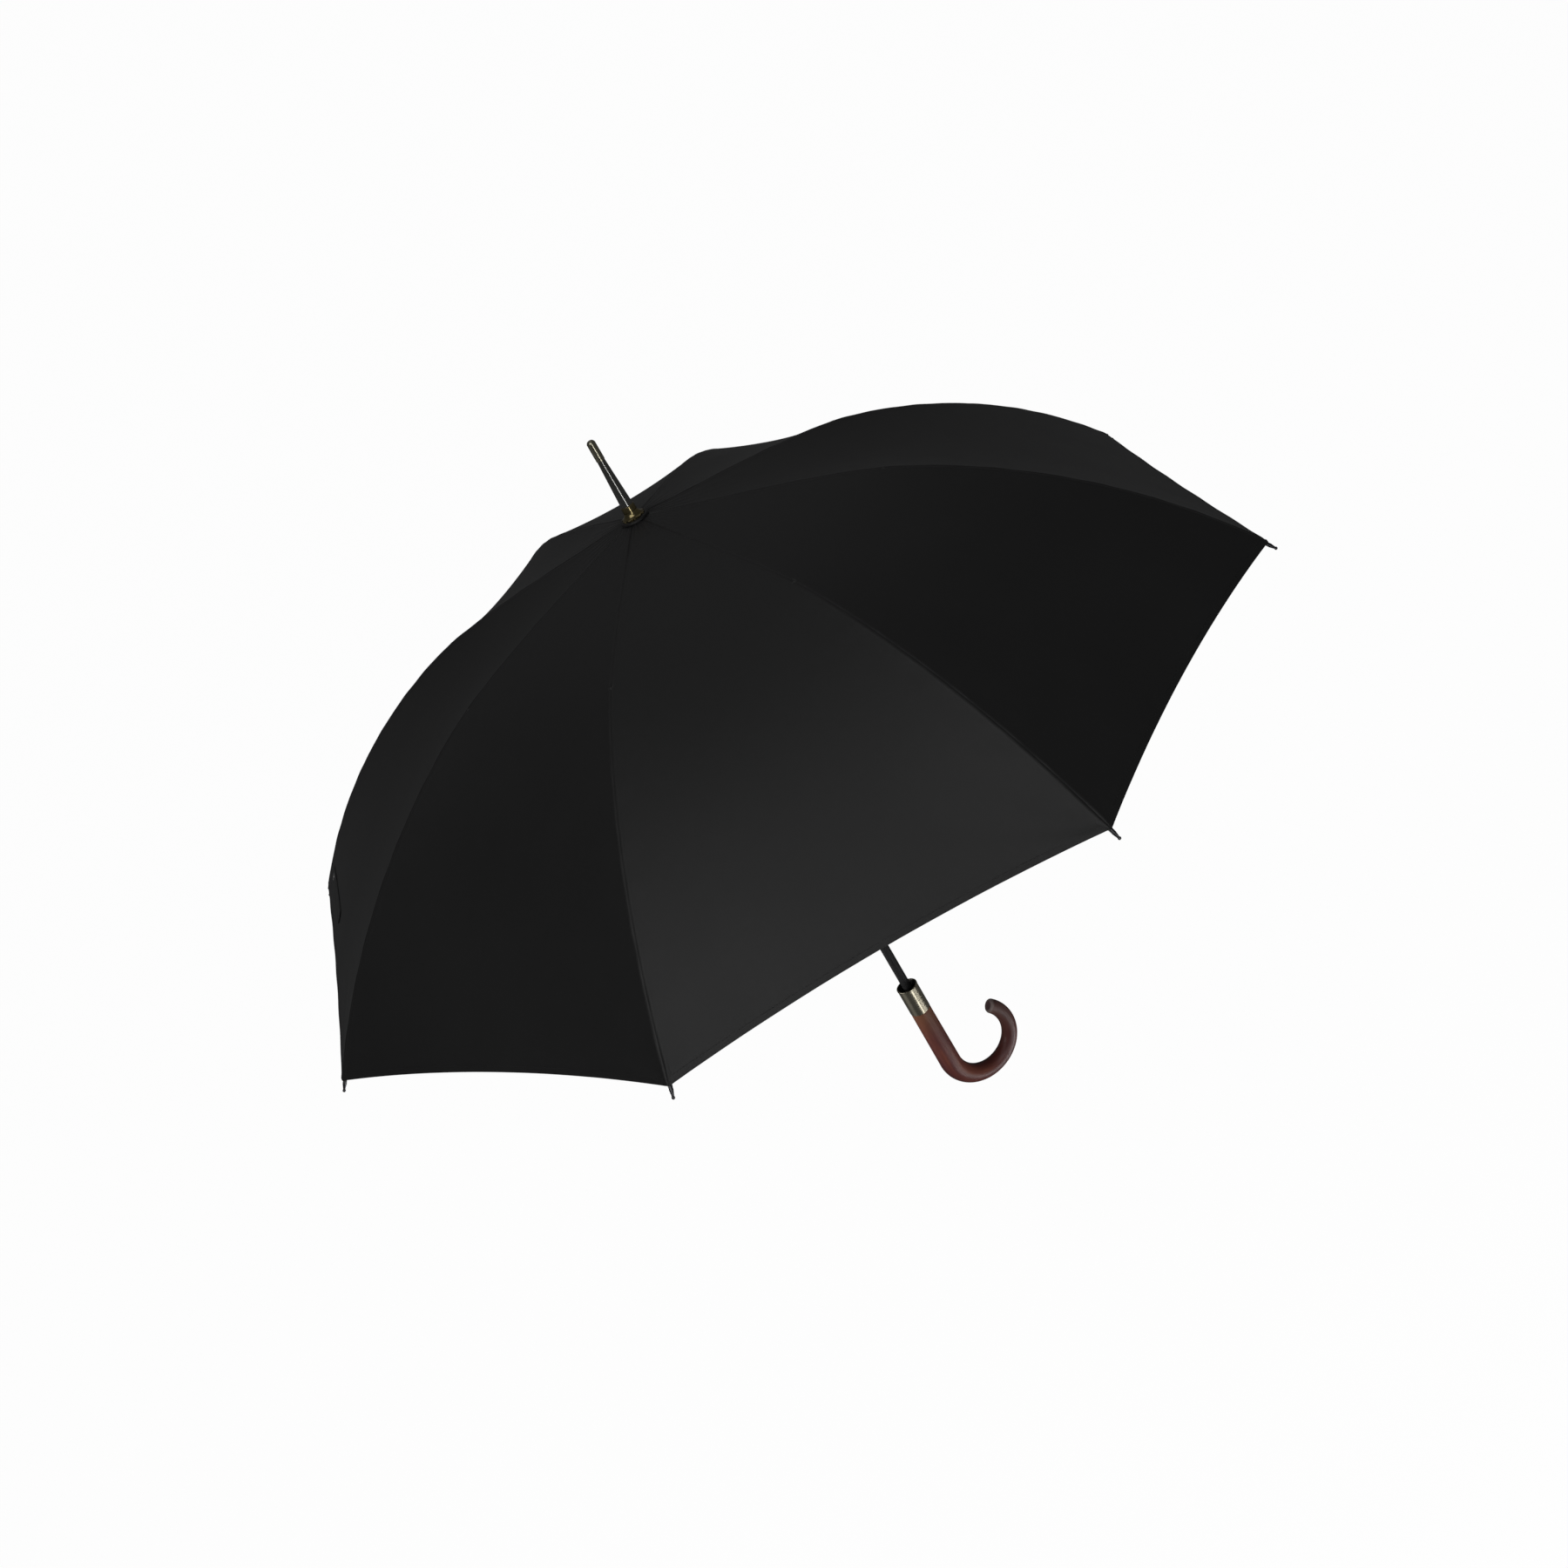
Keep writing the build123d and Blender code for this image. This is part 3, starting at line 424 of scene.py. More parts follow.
BEND_R, BEND_Z = 39.8 * MM, 49.5 * MM  # the crook's bend: its radius, and its centre's height
NOSE_ANGLE = 224.0  # degrees round the bend to the crook's end face
# angles where the painted highlight on the end's rounded rim starts, and where the end face starts
NOSE_RIM_HIGHLIGHT, NOSE_FACE = NOSE_ANGLE - 4.3, NOSE_ANGLE - 1.0
NOSE_CORE = 5.4 * MM  # radius of the end face's dark middle
GREY_FROM = 150.0  # degrees round the bend, where the stain turns greyer
TAN_FROM, POLISH_FROM = 92 * MM, 95 * MM  # heights above which it is tan, and below which hands polish it


def wood_material():
    """Stained hardwood, its grain along the crook, tan at the cup, polished and greyer in the bend, with
    a painted highlight on the rounded rim of its end.
    """
    s = Shader("stained_wood")
    x, y, z = s.axes(s.place())
    across = s.math("SUBTRACT", x, BEND_R)
    below = s.math("SUBTRACT", BEND_Z, z)
    reach = s.length(across, below)
    angle = s.math("ARCTAN2", below, s.math("MULTIPLY", across, -1.0))
    past_half = s.math("LESS_THAN", angle, -math.pi / 2)
    angle = s.math("ADD", angle, s.math("MULTIPLY", past_half, 2 * math.pi))
    in_bend = s.math("MAXIMUM", s.math("GREATER_THAN", x, BEND_R), s.math("GREATER_THAN", below, 0.0))
    side = s.choose(in_bend, x, s.math("SUBTRACT", BEND_R, reach))
    along = s.choose(in_bend, below, s.math("MULTIPLY", angle, BEND_R))
    wood = s.add("CombineXYZ", {0: side, 1: y, 2: along})
    figure = s.noise(s.stretch(wood, (60.0, 60.0, 9.0)), 1.0, 4.0, 0.55)
    rings = s.add(
        "TexWave",
        {
            "Vector": s.stretch(wood, (1.0, 0.55, 0.06)),
            "Scale": 62.0,
            "Distortion": 5.0,
            "Detail": 3.0,
            "Detail Scale": 1.4,
        },
        output=1,
        bands_direction="X",
    )
    pores = s.noise(s.stretch(wood, (2600.0, 2600.0, 90.0)), 1.0, 2.0, 0.6)
    base = s.ramp(
        figure, (0.32, (0.060, 0.015, 0.016)), (0.5, (0.12, 0.031, 0.026)), (0.70, (0.20, 0.062, 0.036))
    )
    base = s.mix(s.math("MULTIPLY", rings, 0.30), base, (0.095, 0.024, 0.017))
    tan = s.ease(z, TAN_FROM, 28.0)
    base = s.mix(s.math("MULTIPLY", tan, 0.55), base, (0.20, 0.085, 0.030))
    base = s.mix(s.ramp(pores, (0.30, 0.14), (0.42, 0.0)), base, (0.040, 0.012, 0.008))
    grey = s.ease(angle, math.radians(GREY_FROM), 0.7)
    base = s.mix(s.math("MULTIPLY", grey, in_bend), base, (0.115, 0.064, 0.054))
    # painted highlight: the end's rounded rim is painted a lighter grey, as if it caught light from the
    # left
    rim = s.math("MULTIPLY", s.ease(angle, math.radians(NOSE_RIM_HIGHLIGHT), 20.0), in_bend)
    base = s.mix(s.math("MULTIPLY", rim, 0.85), base, (0.34, 0.27, 0.25))
    end_face = s.math("MULTIPLY", s.ease(angle, math.radians(NOSE_FACE), 150.0), in_bend)
    from_axis = s.length(s.math("SUBTRACT", reach, BEND_R), y)
    inside = s.math("MULTIPLY", s.math("SUBTRACT", NOSE_CORE, from_axis), 1500.0, clamp=True)
    core = s.math("MULTIPLY", end_face, inside)
    base = s.mix(s.math("MULTIPLY", core, 0.9), base, (0.10, 0.050, 0.052))
    polish = s.math("MULTIPLY", s.math("SUBTRACT", POLISH_FROM, z), 16.0, clamp=True)
    dull = s.ramp(figure, (0.3, 0.64), (0.7, 0.60))
    s.surface(
        Base_Color=base,
        Roughness=s.math("SUBTRACT", dull, s.math("MULTIPLY", polish, 0.21)),
        Normal=s.bump(pores, 0.015, 0.05 * MM),
        Coat_Weight=0.06,
        Coat_Roughness=0.3,
        Specular_IOR_Level=0.36,
    )
    return s.material


def metal_material(name, tint, dark, roughness, marks, depth=0.06, uneven=0.045):
    """Metal with fine marks, tarnish in patches and rubbed places.

    Shallow marks and an even roughness give a bright polish.
    """
    s = Shader(name)
    place = s.place()
    lines = s.noise(s.stretch(place, marks), 1.0, 3.0, 0.6)
    patches = s.noise(place, 90.0, 3.0)
    rubbed = s.noise(place, 420.0, 2.0)
    tone = s.math("ADD", s.math("MULTIPLY", patches, 0.75), s.math("MULTIPLY", lines, 0.25))
    wear = s.math("ADD", s.math("MULTIPLY", rubbed, 0.5), s.math("MULTIPLY", lines, 0.5))
    s.surface(
        Base_Color=s.ramp(tone, (0.36, dark), (0.62, tint)),
        Metallic=1.0,
        Roughness=s.ramp(wear, (0.3, roughness - uneven), (0.7, roughness + uneven)),
        Normal=s.bump(lines, depth, 0.03 * MM),
    )
    return s.material


def enamel_marks(s, place):
    """An enamel's rubbed places and its slight orange peel."""
    rub = s.noise(s.stretch(place, (140.0, 140.0, 30.0)), 1.0, 4.0, 0.65)
    return rub, s.bump(s.noise(place, 900.0, 2.0), 0.08, 0.04 * MM)


def enamel_material(name, tone, roughness, gloss=0.5):
    """Black stoved enamel with slight orange peel and paler rubbed places."""
    s = Shader(name)
    rub, peel = enamel_marks(s, s.place())
    black, worn = (tone, tone, tone * 1.05), (tone * 2.2, tone * 2.2, tone * 2.3)
    s.surface(
        Base_Color=s.ramp(rub, (0.35, black), (0.8, worn)),
        Roughness=s.ramp(rub, (0.3, roughness), (0.75, roughness + 0.14)),
        Normal=peel,
        Specular_IOR_Level=gloss,
        Coat_Weight=0.12 * gloss,
        Coat_Roughness=0.3,
    )
    return s.material


def rib_end_material():
    """The rib's enamel, with a bare dark metal tip past the cloth's corner."""
    s = Shader("rib_end_enamel")
    place = s.place()
    x, y, _ = s.axes(place)
    tip = s.ease(s.length(x, y), RIB_END[0] + 1.0 * MM, 4000.0)
    rub, peel = enamel_marks(s, place)
    enamel = s.ramp(rub, (0.35, 0.018), (0.8, 0.045))
    bare = s.ramp(rub, (0.3, (0.05, 0.05, 0.055)), (0.8, (0.20, 0.20, 0.21)))
    s.surface(
        Base_Color=s.mix(tip, enamel, bare),
        Metallic=tip,
        Roughness=s.ramp(rub, (0.3, 0.28), (0.75, 0.42)),
        Normal=peel,
    )
    return s.material


def nylon_material(name, tone):
    """Moulded black nylon with a fine spark-eroded texture."""
    s = Shader(name)
    place = s.place()
    grain = s.noise(place, 2600.0, 2.0, 0.6)
    cloud = s.noise(place, 60.0, 3.0)
    black, worn = (tone, tone, tone), (tone * 1.5, tone * 1.5, tone * 1.55)
    s.surface(
        Base_Color=s.ramp(cloud, (0.35, black), (0.7, worn)),
        Roughness=s.ramp(grain, (0.3, 0.46), (0.7, 0.6)),
        Normal=s.bump(grain, 0.25, 0.05 * MM),
    )
    return s.material


BLACK = (0.0085, 0.0085, 0.0087)
CLOTH_FACE = cloth_material("canopy_cloth", BLACK)
TAPE_FACE = cloth_material("seam_cloth", (0.005, 0.005, 0.0052))
THREAD_FACE = nylon_material("thread", 0.012)
STRAP_FACE = cloth_material("strap_cloth", (0.007, 0.007, 0.0072))
WASHER_FACE = cloth_material("washer_cloth", (0.004, 0.004, 0.0042), uv=False)
TURNED = (40.0, 40.0, 2600.0)  # marks run round the shaft
EVEN = (900.0, 900.0, 900.0)  # marks with no direction
POLISHED = {"marks": TURNED, "depth": 0.004, "uneven": 0.012}
MIRROR = {"marks": TURNED, "depth": 0.003, "uneven": 0.010}
BRASS = metal_material("antique_brass", (0.31, 0.255, 0.13), (0.19, 0.155, 0.078), 0.20, **POLISHED)
NICKEL = metal_material("aged_nickel_cup", (0.46, 0.425, 0.33), (0.40, 0.37, 0.28), 0.27, **POLISHED)
GUNMETAL = metal_material("gunmetal", (0.42, 0.40, 0.31), (0.37, 0.35, 0.27), 0.20, **MIRROR)
CHROME = metal_material("black_chrome", (0.26, 0.26, 0.25), (0.23, 0.23, 0.22), 0.14, **MIRROR)
WIRE = metal_material("spring_wire", (0.50, 0.50, 0.51), (0.32, 0.32, 0.33), 0.26, EVEN)
SNAP_FACE = metal_material("snap_metal", (0.52, 0.52, 0.52), (0.34, 0.34, 0.34), 0.36, EVEN)
SHAFT_FACE = enamel_material("shaft_enamel", 0.007, 0.60, 0.22)
RIB_FACE = enamel_material("rib_enamel", 0.014, 0.32)
NYLON = nylon_material("black_nylon", 0.010)

FINISHES = {
    "shaft_tube": SHAFT_FACE,
    "ferrule": CHROME,
    "ferrule_cap": GUNMETAL,
    "crown_cap": BRASS,
    "top_notch": NYLON,
    "notch_wire": WIRE,
    "stop_ring": NYLON,
    "tip_cup": NICKEL,
    "cup_liner": NYLON,
    "handle_crook": wood_material(),
    "handle_pin": WIRE,
    "runner_crown": NYLON,
    "runner_sleeve": NYLON,
    "runner_wire": WIRE,
    "top_catch": WIRE,
    "bottom_catch": WIRE,
    "strap_snap": SNAP_FACE,
}
RIB_END_FACE = rib_end_material()
for number in range(1, RIBS + 1):
    FINISHES[f"rib_{number}"] = RIB_FACE
    FINISHES[f"stretcher_{number}"] = RIB_FACE
    FINISHES[f"rib_end_{number}"] = RIB_END_FACE
for node, finish in FINISHES.items():
    slots = frame["nodes"][node].material_slots
    for slot in slots:
        slot.link = "OBJECT"
        slot.material = finish


# ---------------------------------------------------------------- cover pieces
OVERLAP_ROWS = 3  # the lower cloth runs up under the upper by this many rows
TUCK = 0.6 * MM  # and this far below it
HEM_BAND = 8 * MM
HEM_THICK = 0.9 * MM
HEM_STEP = 0.35 * MM  # over which the folded hem thins to a single cloth


def fold(obj):
    """Gives a piece its own copy of its mesh."""
    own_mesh(obj)


def cloth_piece(panel, side, upper):
    """Half of a panel's upper or lower cloth, from its middle to the seam on that side."""
    columns = slice(MIDDLE, None) if side > 0 else slice(0, MIDDLE + 1)
    rows = slice(0, SPLIT + 1) if upper else slice(SPLIT - OVERLAP_ROWS, None)
    grid, normal = PANEL[rows, columns].copy(), PANEL_NORMAL[rows, columns]
    thick = np.full(grid.shape[:2], CLOTH)
    if not upper:
        grid[:OVERLAP_ROWS] -= normal[:OVERLAP_ROWS] * TUCK
        to_hem = np.linalg.norm(PLAIN_PANEL[-1] - PLAIN_PANEL, axis=-1)[rows, columns]
        band = 1 / (1 + np.exp(np.clip((to_hem - HEM_BAND) / HEM_STEP, -50, 50)))
        grid += normal * (band * (HEM_THICK - CLOTH) / 2)[..., None]
        thick += band * (HEM_THICK - CLOTH)
    uv = np.stack([grid[..., 1], ALONG[rows, columns]], -1)
    angle = FIRST_RIB + (panel + 0.5) * PITCH
    part = "upper" if upper else "lower"
    name = f"cloth_{part}_{panel + 1}_{'left' if side < 0 else 'right'}"
    obj = shell(name, turned(grid, angle), turned(normal, angle), thick, uv, CLOTH_FACE)
    rib = (panel + (side > 0)) % RIBS
    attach(obj, f"rib_{rib + 1}" if upper else f"rib_end_{rib + 1}")
    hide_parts(f"canopy_panel_{part}_{panel + 1}")
    fold(obj)


TAPE_WIDTH, TAPE_SHARE = 4.2 * MM, 0.3  # each side of the seam, and its most as a share of the row
TAPE, TAPE_GAP = 0.35 * MM, 0.15 * MM  # its thickness, and from the cover's inner face to it
TAPE_START = 3  # the row it starts from, under the crown's washer


def seam_tape(rib, upper):
    """The turned-in edges of two panels, under their seam and over the rib."""
    rows = slice(TAPE_START, SPLIT + 2) if upper else slice(SPLIT - 1, -1)
    line = PLAIN_PANEL[rows, -1]
    width = np.minimum(TAPE_WIDTH, line[:, 0] * math.tan(HALF) * TAPE_SHARE)
    beside = []
    for row, w in zip(range(len(PLAIN_PANEL))[rows], width, strict=True):
        d = FROM_SEAM[row, MIDDLE:][::-1]
        beside.append([np.interp(w, d, PLAIN_PANEL[row, MIDDLE:, k][::-1]) for k in range(3)])
    left = turned(np.array(beside), -HALF)
    centre = turned(line, -HALF)
    right = left * np.array([1, -1, 1])
    grid = np.stack([left, (left + centre) / 2, centre, (right + centre) / 2, right], 1)
    normal = normals_of(np.stack([left, (left + right) / 2, right], 1))[:, [0, 0, 1, 2, 2]]
    grid = grid - normal * (CLOTH + TAPE_GAP)
    uv = grid[..., [1, 0]]
    angle = FIRST_RIB + rib * PITCH
    part = "upper" if upper else "lower"
    name = f"seam_tape_{part}_{rib + 1}"
    obj = shell(name, turned(grid, angle), turned(normal, angle), TAPE, uv, TAPE_FACE)
    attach(obj, f"rib_{rib + 1}" if upper else f"rib_end_{rib + 1}")


def revolved(name, profile, material, sides=72):
    """A closed ring about the shaft, from an anticlockwise profile of (radius, height) points."""
    count = len(profile)
    turns = [2 * math.pi * k / sides for k in range(sides)]
    points = [(r * math.cos(a), r * math.sin(a), z) for a in turns for r, z in profile]
    rings = np.arange(sides * count).reshape(sides, count)
    after, outer = np.roll(rings, -1, 0), np.roll(rings, -1, 1)
    faces = np.stack([rings, after, np.roll(after, -1, 1), outer], -1).reshape(-1, 4)
    return new_object(name, points, faces, material=material)


SHAFT_R = 5.0 * MM
PAD_R, WASHER_R = 14.7 * MM, 15.0 * MM
RING_BORE = SHAFT_R + 0.25 * MM
PAD_GAP = 0.25 * MM  # between the cover's inner face and the pad
WASHER_GAP = 0.12 * MM  # between the cover's outer face and the washer
WASHER_CROWN = 0.3 * MM  # how much lower the washer's top is at its edge


def cover_height(radius):
    """The height of the cover's outer face over a rib at that radius."""
    return float(np.interp(radius, SEAM[:, 0], SEAM[:, 1]))


def crown_ring(name, low, high, rim):
    """A cloth ring on the shaft between two faces, each a function that gives its height at a radius."""
    radii = np.linspace(RING_BORE, rim[0][0] - 0.3 * MM, 7)
    profile = [(r, low(r)) for r in radii] + rim + [(r, high(r)) for r in radii[::-1]]
    ring = revolved(name, profile, WASHER_FACE)
    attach(ring, "shaft")
    return ring


def crown_cloth():
    """The pad that lies between the cover and the notch, and the domed washer on the cover."""
    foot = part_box("top_notch")[1][2] + 0.1 * MM
    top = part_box("crown_washer")[1][2]
    under = cover_height(PAD_R) - CLOTH - PAD_GAP
    crown_ring(
        "crown_pad",
        lambda r: foot,
        lambda r: cover_height(r) - CLOTH - PAD_GAP,
        [(PAD_R, (foot + under) / 2)],
    )
    edge = cover_height(WASHER_R) + WASHER_GAP
    thick = top - edge
    washer = crown_ring(
        "crown_washer_cloth",
        lambda r: cover_height(r) + WASHER_GAP,
        lambda r: top - WASHER_CROWN * (r / WASHER_R) ** 4,
        [
            (WASHER_R - 0.1 * MM, edge + 0.2 * thick),
            (WASHER_R, edge + 0.45 * thick),
            (WASHER_R - 0.15 * MM, edge + 0.7 * thick),
        ],
    )
    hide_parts("crown_washer")


for number in range(RIBS):
    for upper in (True, False):
        for side in (-1, 1):
            cloth_piece(number, side, upper)
        seam_tape(number, upper)
crown_cloth()


# ---------------------------------------------------------------- stitching and the tie strap
STITCH, STITCH_PITCH = 2.3 * MM, 3.1 * MM  # a stitch's length, and from one stitch to the next
THREAD_R = 0.22 * MM
THREAD_LIFT = 0.35  # how far a stitch's middle stands up, as a share of the thread's radius
THREAD_TAPER = 0.96  # a stitch's ends narrow by this share, and would come to a point at 1
STITCH_RINGS, STITCH_SIDES = 5, 8


def tube_faces(first, rings, sides):
    """The faces of a closed tube whose rings of points follow each other from the first point on."""
    faces = []
    for ring in range(rings - 1):
        start = first + ring * sides
        for k in range(sides):
            a, b = start + k, start + (k + 1) % sides
            faces.append((a, b, b + sides, a + sides))
    last = first + (rings - 1) * sides
    return [*faces, tuple(range(first + sides - 1, first - 1, -1)), tuple(range(last, last + sides))]


def stitch_row(name, line, up, material):
    """A row of short thread stitches along a line of points, half sunk in a cloth whose normal is up."""
    steps = np.linalg.norm(np.diff(line, axis=0), axis=1)
    along = np.concatenate([[0], np.cumsum(steps)])
    count = int((along[-1] - STITCH) / STITCH_PITCH)
    centres = (np.arange(count) + 0.5) * along[-1] / count

    def at(values, place):
        return np.array([np.interp(place, along, values[:, k]) for k in range(3)])

    turns = np.arange(STITCH_SIDES) * 2 * math.pi / STITCH_SIDES
    lengths = -np.cos(np.linspace(0, math.pi, STITCH_RINGS + 2))[1:-1]
    points, faces = [], []
    for place in centres:
        here, normal = at(line, place), at(up, place)
        ahead = at(line, place + STITCH / 2) - at(line, place - STITCH / 2)
        ahead /= np.linalg.norm(ahead)
        beside = np.cross(normal, ahead)
        first = len(points)
        for length in lengths:
            girth = THREAD_R * math.sqrt(1 - length * length * THREAD_TAPER)
            rise = normal * THREAD_R * THREAD_LIFT * (1 - length**2)
            middle = here + ahead * length * STITCH / 2 + rise
            points += [middle + girth * (math.cos(a) * beside + math.sin(a) * normal) for a in turns]
        faces += tube_faces(first, STITCH_RINGS, STITCH_SIDES)
    return new_object(name, points, faces, material=material)


def on_panel(y, from_hem):
    """The plain panel's point that far sideways from its middle and that far in from its hem."""
    row = ROWS - from_hem / ROW_STEP
    columns = np.arange(COLUMNS + 1, dtype=float)
    across = sample(NET, np.full(COLUMNS + 1, row), columns)
    return np.array([np.interp(y, across[:, 1], across[:, k]) for k in range(3)])


HEM_STITCH = 6.4 * MM  # from the hem to its row of stitches
STITCH_START = 7 * MM  # and from a seam to its first stitch


def hem_stitches(panel, side):
    """The row of stitches that holds half a panel's hem."""
    half_width = SEAM[-1, 0] * math.sin(HALF)
    places = side * np.linspace(0.5 * STITCH_PITCH, half_width - STITCH_START, 60)
    line = np.array([on_panel(y, HEM_STITCH) for y in places])
    inwards = np.array([on_panel(y, HEM_STITCH + 4 * MM) for y in places]) - line
    up = np.cross(inwards, np.gradient(line, axis=0))
    up /= np.linalg.norm(up, axis=1)[:, None]
    up *= np.sign(up[:, 2:])
    line = line + up * (HEM_THICK - CLOTH) / 2
    angle = FIRST_RIB + (panel + 0.5) * PITCH
    name = f"hem_stitches_{panel + 1}_{'left' if side < 0 else 'right'}"
    obj = stitch_row(name, turned(line, angle), turned(up, angle), THREAD_FACE)
    rib = (panel + (side > 0)) % RIBS
    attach(obj, f"rib_end_{rib + 1}")
    fold(obj)


STRAP_PANEL = 3
STRAP_ROOT, STRAP_END = -165 * MM, -45 * MM  # sideways from the panel's middle
STRAP_W = 16 * MM
STRAP_IN = 37 * MM  # its middle, in from the hem
STRAP_T = 0.55 * MM
STRAP_BODY = STRAP_T * 0.85  # the sheet's own thickness, which keeps its pressed edge clear of the cloth
STRAP_GAP = 0.15 * MM  # between the strap and the cloth
STRAP_WAVE, STRAP_WAVE_LENGTH = 0.25 * MM, 17 * MM  # it lies in slight waves
STRAP_GROOVE, STRAP_GROOVE_W = 0.12 * MM, 0.6 * MM  # its stitches pull it in this far
STRAP_EDGE = 1.7 * MM  # its folded edge, to the stitches
STRAP_BOX = 22 * MM  # from its root to the stitches across it
SNAP_Y = STRAP_ROOT + 13 * MM
SNAP_R, SNAP_SIDES = 4.0 * MM, 40
SNAP_PROFILE = (  # shares of its radius, and heights in mm: a rolled rim, a dome and a dimple
    *((1.0, -0.1), (1.0, 0.35), (0.96, 0.6), (0.88, 0.72), (0.78, 0.66)),
    *((0.70, 0.70), (0.5, 0.98), (0.28, 1.1), (0.14, 1.06)),
)


def strap_point(y, across, lift):
    """A point of the strap that far sideways, across from its middle line and above the cloth."""
    here = on_panel(y, STRAP_IN + across)
    up = np.cross(on_panel(y, STRAP_IN + across + MM) - here, on_panel(y + MM, STRAP_IN + across) - here)
    up *= np.sign(up[2]) / np.linalg.norm(up)
    return here + up * lift, up


def strap_piece(obj, *nodes):
    """Puts a piece of the strap on the cloth's rib and gives it a mesh of its own."""
    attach(obj, f"rib_end_{STRAP_PANEL + 1}")
    if nodes:
        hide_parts(*nodes)
    fold(obj)


def tie_strap():
    """The strap, a doubled band with a rounded end, stitched round its edge."""
    angle = FIRST_RIB + (STRAP_PANEL + 0.5) * PITCH
    length, corner = STRAP_END - STRAP_ROOT, STRAP_W / 2
    straight = length - corner
    rounding = np.linspace(0, math.pi / 2, 9)[::-1]
    lengths = np.concatenate([np.linspace(0, straight, 49), length - corner * np.cos(rounding)[1:]])
    lengths[-1] = length - 0.05 * MM  # the round end closes in a short edge
    shares = np.linspace(-1, 1, 13)
    grid = np.zeros((len(lengths), len(shares), 3))
    for i, at in enumerate(lengths):
        half = math.sqrt(corner**2 - max(0.0, at - straight) ** 2)
        for j, share in enumerate(shares):
            outer = max(0.0, abs(share) - 0.9)
            edge = 0.5 * STRAP_T * (1 - math.sqrt(max(0.0, 1 - outer**2 * 80)))
            to_stitches = abs(share) * half - half + STRAP_EDGE
            groove = STRAP_GROOVE * math.exp(-((to_stitches / STRAP_GROOVE_W) ** 2))
            wave = STRAP_WAVE * math.sin(at / STRAP_WAVE_LENGTH) ** 2
            lift = STRAP_GAP + STRAP_T - edge - groove + wave
            grid[i, j], _ = strap_point(STRAP_ROOT + at, share * half, lift)
    uv = np.stack(np.broadcast_arrays(lengths[:, None], shares[None] * STRAP_W / 2), -1)
    grid, normal = turned(grid, angle), turned(normals_of(grid), angle)
    strap = shell("tie_strap_cloth", grid, normal, STRAP_BODY, uv, STRAP_FACE)
    inner = corner - STRAP_EDGE
    out_and_back = np.linspace(2 * MM, straight, 40)
    turn = np.linspace(0.1, math.pi - 0.1, 30)
    edge_run = [(at, inner) for at in out_and_back]
    edge_run += [(straight + inner * math.sin(a), inner * math.cos(a)) for a in turn]
    edge_run += [(at, -inner) for at in out_and_back[::-1]]
    box_run = [(STRAP_BOX, share * inner) for share in np.linspace(-1, 1, 12)]
    threads = []
    for part, run in {"edge": edge_run, "box": box_run}.items():
        height = STRAP_GAP + STRAP_T - 0.05 * MM
        found = [strap_point(STRAP_ROOT + at, across, height) for at, across in run]
        line, up = (turned(np.array([f[k] for f in found]), angle) for k in (0, 1))
        threads.append(stitch_row(f"strap_stitches_{part}", line, up, THREAD_FACE))
    strap_piece(strap, "tie_strap")
    for thread in threads:
        strap_piece(thread)


def strap_snap():
    """A pressed snap: a domed cap with a rolled rim and a dimple."""
    angle = FIRST_RIB + (STRAP_PANEL + 0.5) * PITCH
    base, up = strap_point(SNAP_Y, 0.0, STRAP_GAP + STRAP_T)
    ahead = strap_point(SNAP_Y + MM, 0.0, STRAP_GAP + STRAP_T)[0] - base
    ahead /= np.linalg.norm(ahead)
    beside = np.cross(up, ahead)
    points = []
    for radius, height in SNAP_PROFILE:
        for k in range(SNAP_SIDES):
            a = 2 * math.pi * k / SNAP_SIDES
            outwards = math.cos(a) * ahead + math.sin(a) * beside
            points.append(base + SNAP_R * radius * outwards + up * height * MM)
    faces = tube_faces(0, len(SNAP_PROFILE), SNAP_SIDES)
    obj = new_object("strap_snap_cap", turned(np.array(points), angle), faces, material=SNAP_FACE)
    strap_piece(obj, "strap_snap")


for number in range(RIBS):
    for side in (-1, 1):
        hem_stitches(number, side)
tie_strap()
strap_snap()


# ---------------------------------------------------------------- floor, light, camera
def area_light(name, energy, width, height, azimuth, elevation, distance):
    """A soft oblong light aimed at the umbrella's middle."""
    data = bpy.data.lights.new(name, "AREA")
    data.shape, data.energy, data.size, data.size_y = "RECTANGLE", energy, width, height
    lamp = bpy.data.objects.new(name, data)
    a, e = math.radians(azimuth), math.radians(elevation)
    way = Vector((math.cos(a) * math.cos(e), math.sin(a) * math.cos(e), math.sin(e)))
    lamp.location = Vector((0, 0, 0.5)) + way * distance
    lamp.rotation_mode = "QUATERNION"
    lamp.rotation_quaternion = way.to_track_quat("Z", "Y")
    lamp.visible_camera = False
    bpy.context.scene.collection.objects.link(lamp)


FLOOR_Z, FLOOR_R = -1.1, 9.0
COVE_R, DOME_TOP = 4.0, 14.0
FLOOR_SIDES = 96
FLOOR_GLOW, WORLD_GLOW = 0.975, 0.075


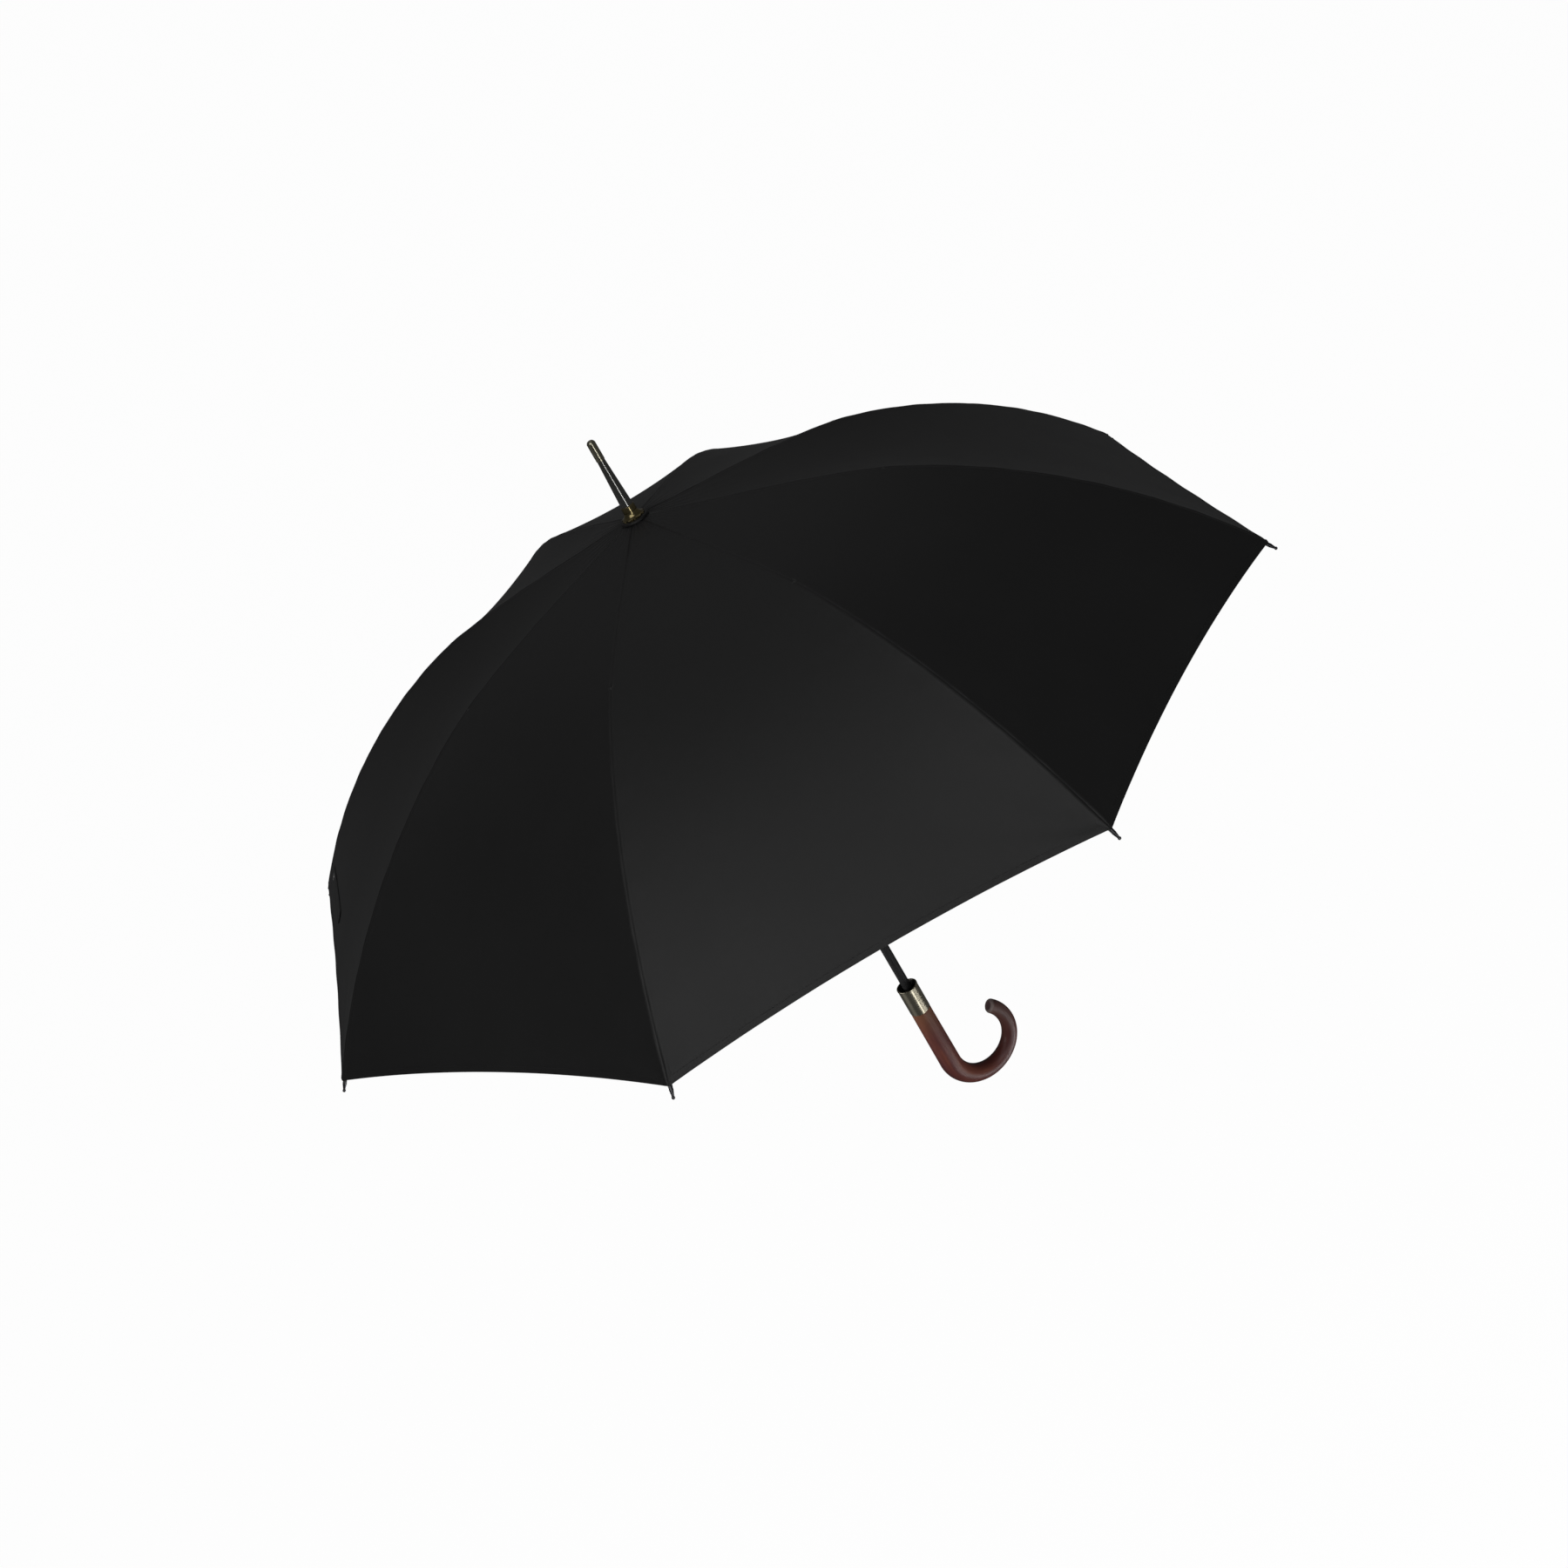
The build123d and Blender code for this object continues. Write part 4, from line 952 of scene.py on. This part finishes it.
def pale_floor():
    """A wide pale floor that turns up in a cove and closes overhead, so that no edge of it shows."""
    cove = [
        (FLOOR_R + COVE_R * math.sin(a), FLOOR_Z + COVE_R * (1 - math.cos(a)))
        for a in np.linspace(0, math.pi / 2, 13)
    ]
    wall = cove[-1]
    dome = [
        (wall[0] * math.cos(a), wall[1] + (DOME_TOP - wall[1]) * math.sin(a))
        for a in np.linspace(0, math.pi / 2, 13)[1:-1]
    ]
    profile = [(0.5, FLOOR_Z), *cove, *dome]
    turns = [k * 2 * math.pi / FLOOR_SIDES for k in range(FLOOR_SIDES)]
    points = [(r * math.cos(a), r * math.sin(a), z) for r, z in profile for a in turns]
    faces = [face[::-1] for face in tube_faces(0, len(profile), FLOOR_SIDES)]
    s = Shader("floor_white")
    s.surface(
        Base_Color=s.ramp(s.noise(s.place(), 3.0), (0.3, 0.05), (0.7, 0.06)),
        Roughness=1.0,
        Specular_IOR_Level=0.0,
        Emission_Color=(1, 1, 1),
        Emission_Strength=FLOOR_GLOW,
    )
    floor = new_object("floor", points, faces, material=s.material)
    floor.visible_diffuse = floor.visible_glossy = floor.visible_shadow = False


LIGHTS = (  # name, watts, width and height in metres, azimuth and elevation in degrees, distance
    ("key", 19.0, 2.2, 2.2, -124, 46, 2.8),
    ("strip", 6.6, 0.14, 1.6, -95, 0, 2.2),
    ("low_strip", 2.8, 0.22, 0.9, -84, -47, 1.7),
    ("low_side", 6.0, 0.6, 0.6, -48, -58, 1.7),
    ("low_left", 1.2, 1.2, 1.2, 178, -26, 2.0),
    ("nose", 1.8, 0.25, 0.25, 180, -26, 0.5),
    ("back_fill", 3.0, 2.4, 2.4, 70, 64, 3.2),
)


def soft_world():
    """Weak even light from all around, and a view transform that leaves the colours as they are."""
    world = bpy.data.worlds.new("soft_grey")
    world.use_nodes = True
    background = world.node_tree.nodes["Background"]
    background.inputs[0].default_value = (1, 1, 1, 1)
    background.inputs[1].default_value = WORLD_GLOW
    bpy.context.scene.world = world
    bpy.context.scene.view_settings.view_transform = "Standard"


CAMERA_AT = Vector((-0.4338, -1.8411, 1.4070))
CAMERA_DOWN = math.radians(26.874)
CAMERA_HEADING = math.radians(76.878)
CAMERA_ROLL = math.radians(30.264)  # the camera's top leans to its right
LENS = 47.94


def camera():
    """The camera, which leans so that the umbrella seems to lie tipped over."""
    look = Vector(
        (
            math.cos(CAMERA_HEADING) * math.cos(CAMERA_DOWN),
            math.sin(CAMERA_HEADING) * math.cos(CAMERA_DOWN),
            -math.sin(CAMERA_DOWN),
        )
    )
    level = (-look).to_track_quat("Z", "Y").to_matrix()
    data = bpy.data.cameras.new("camera")
    data.sensor_width, data.lens = 36.0, LENS
    data.clip_start, data.clip_end = 0.05, 200.0
    eye = bpy.data.objects.new("camera", data)
    turn = level @ Matrix.Rotation(-CAMERA_ROLL, 3, "Z")
    eye.matrix_world = Matrix.Translation(CAMERA_AT) @ turn.to_4x4()
    bpy.context.scene.collection.objects.link(eye)
    bpy.context.scene.camera = eye


camera()
pale_floor()
soft_world()
for light in LIGHTS:
    area_light(*light)
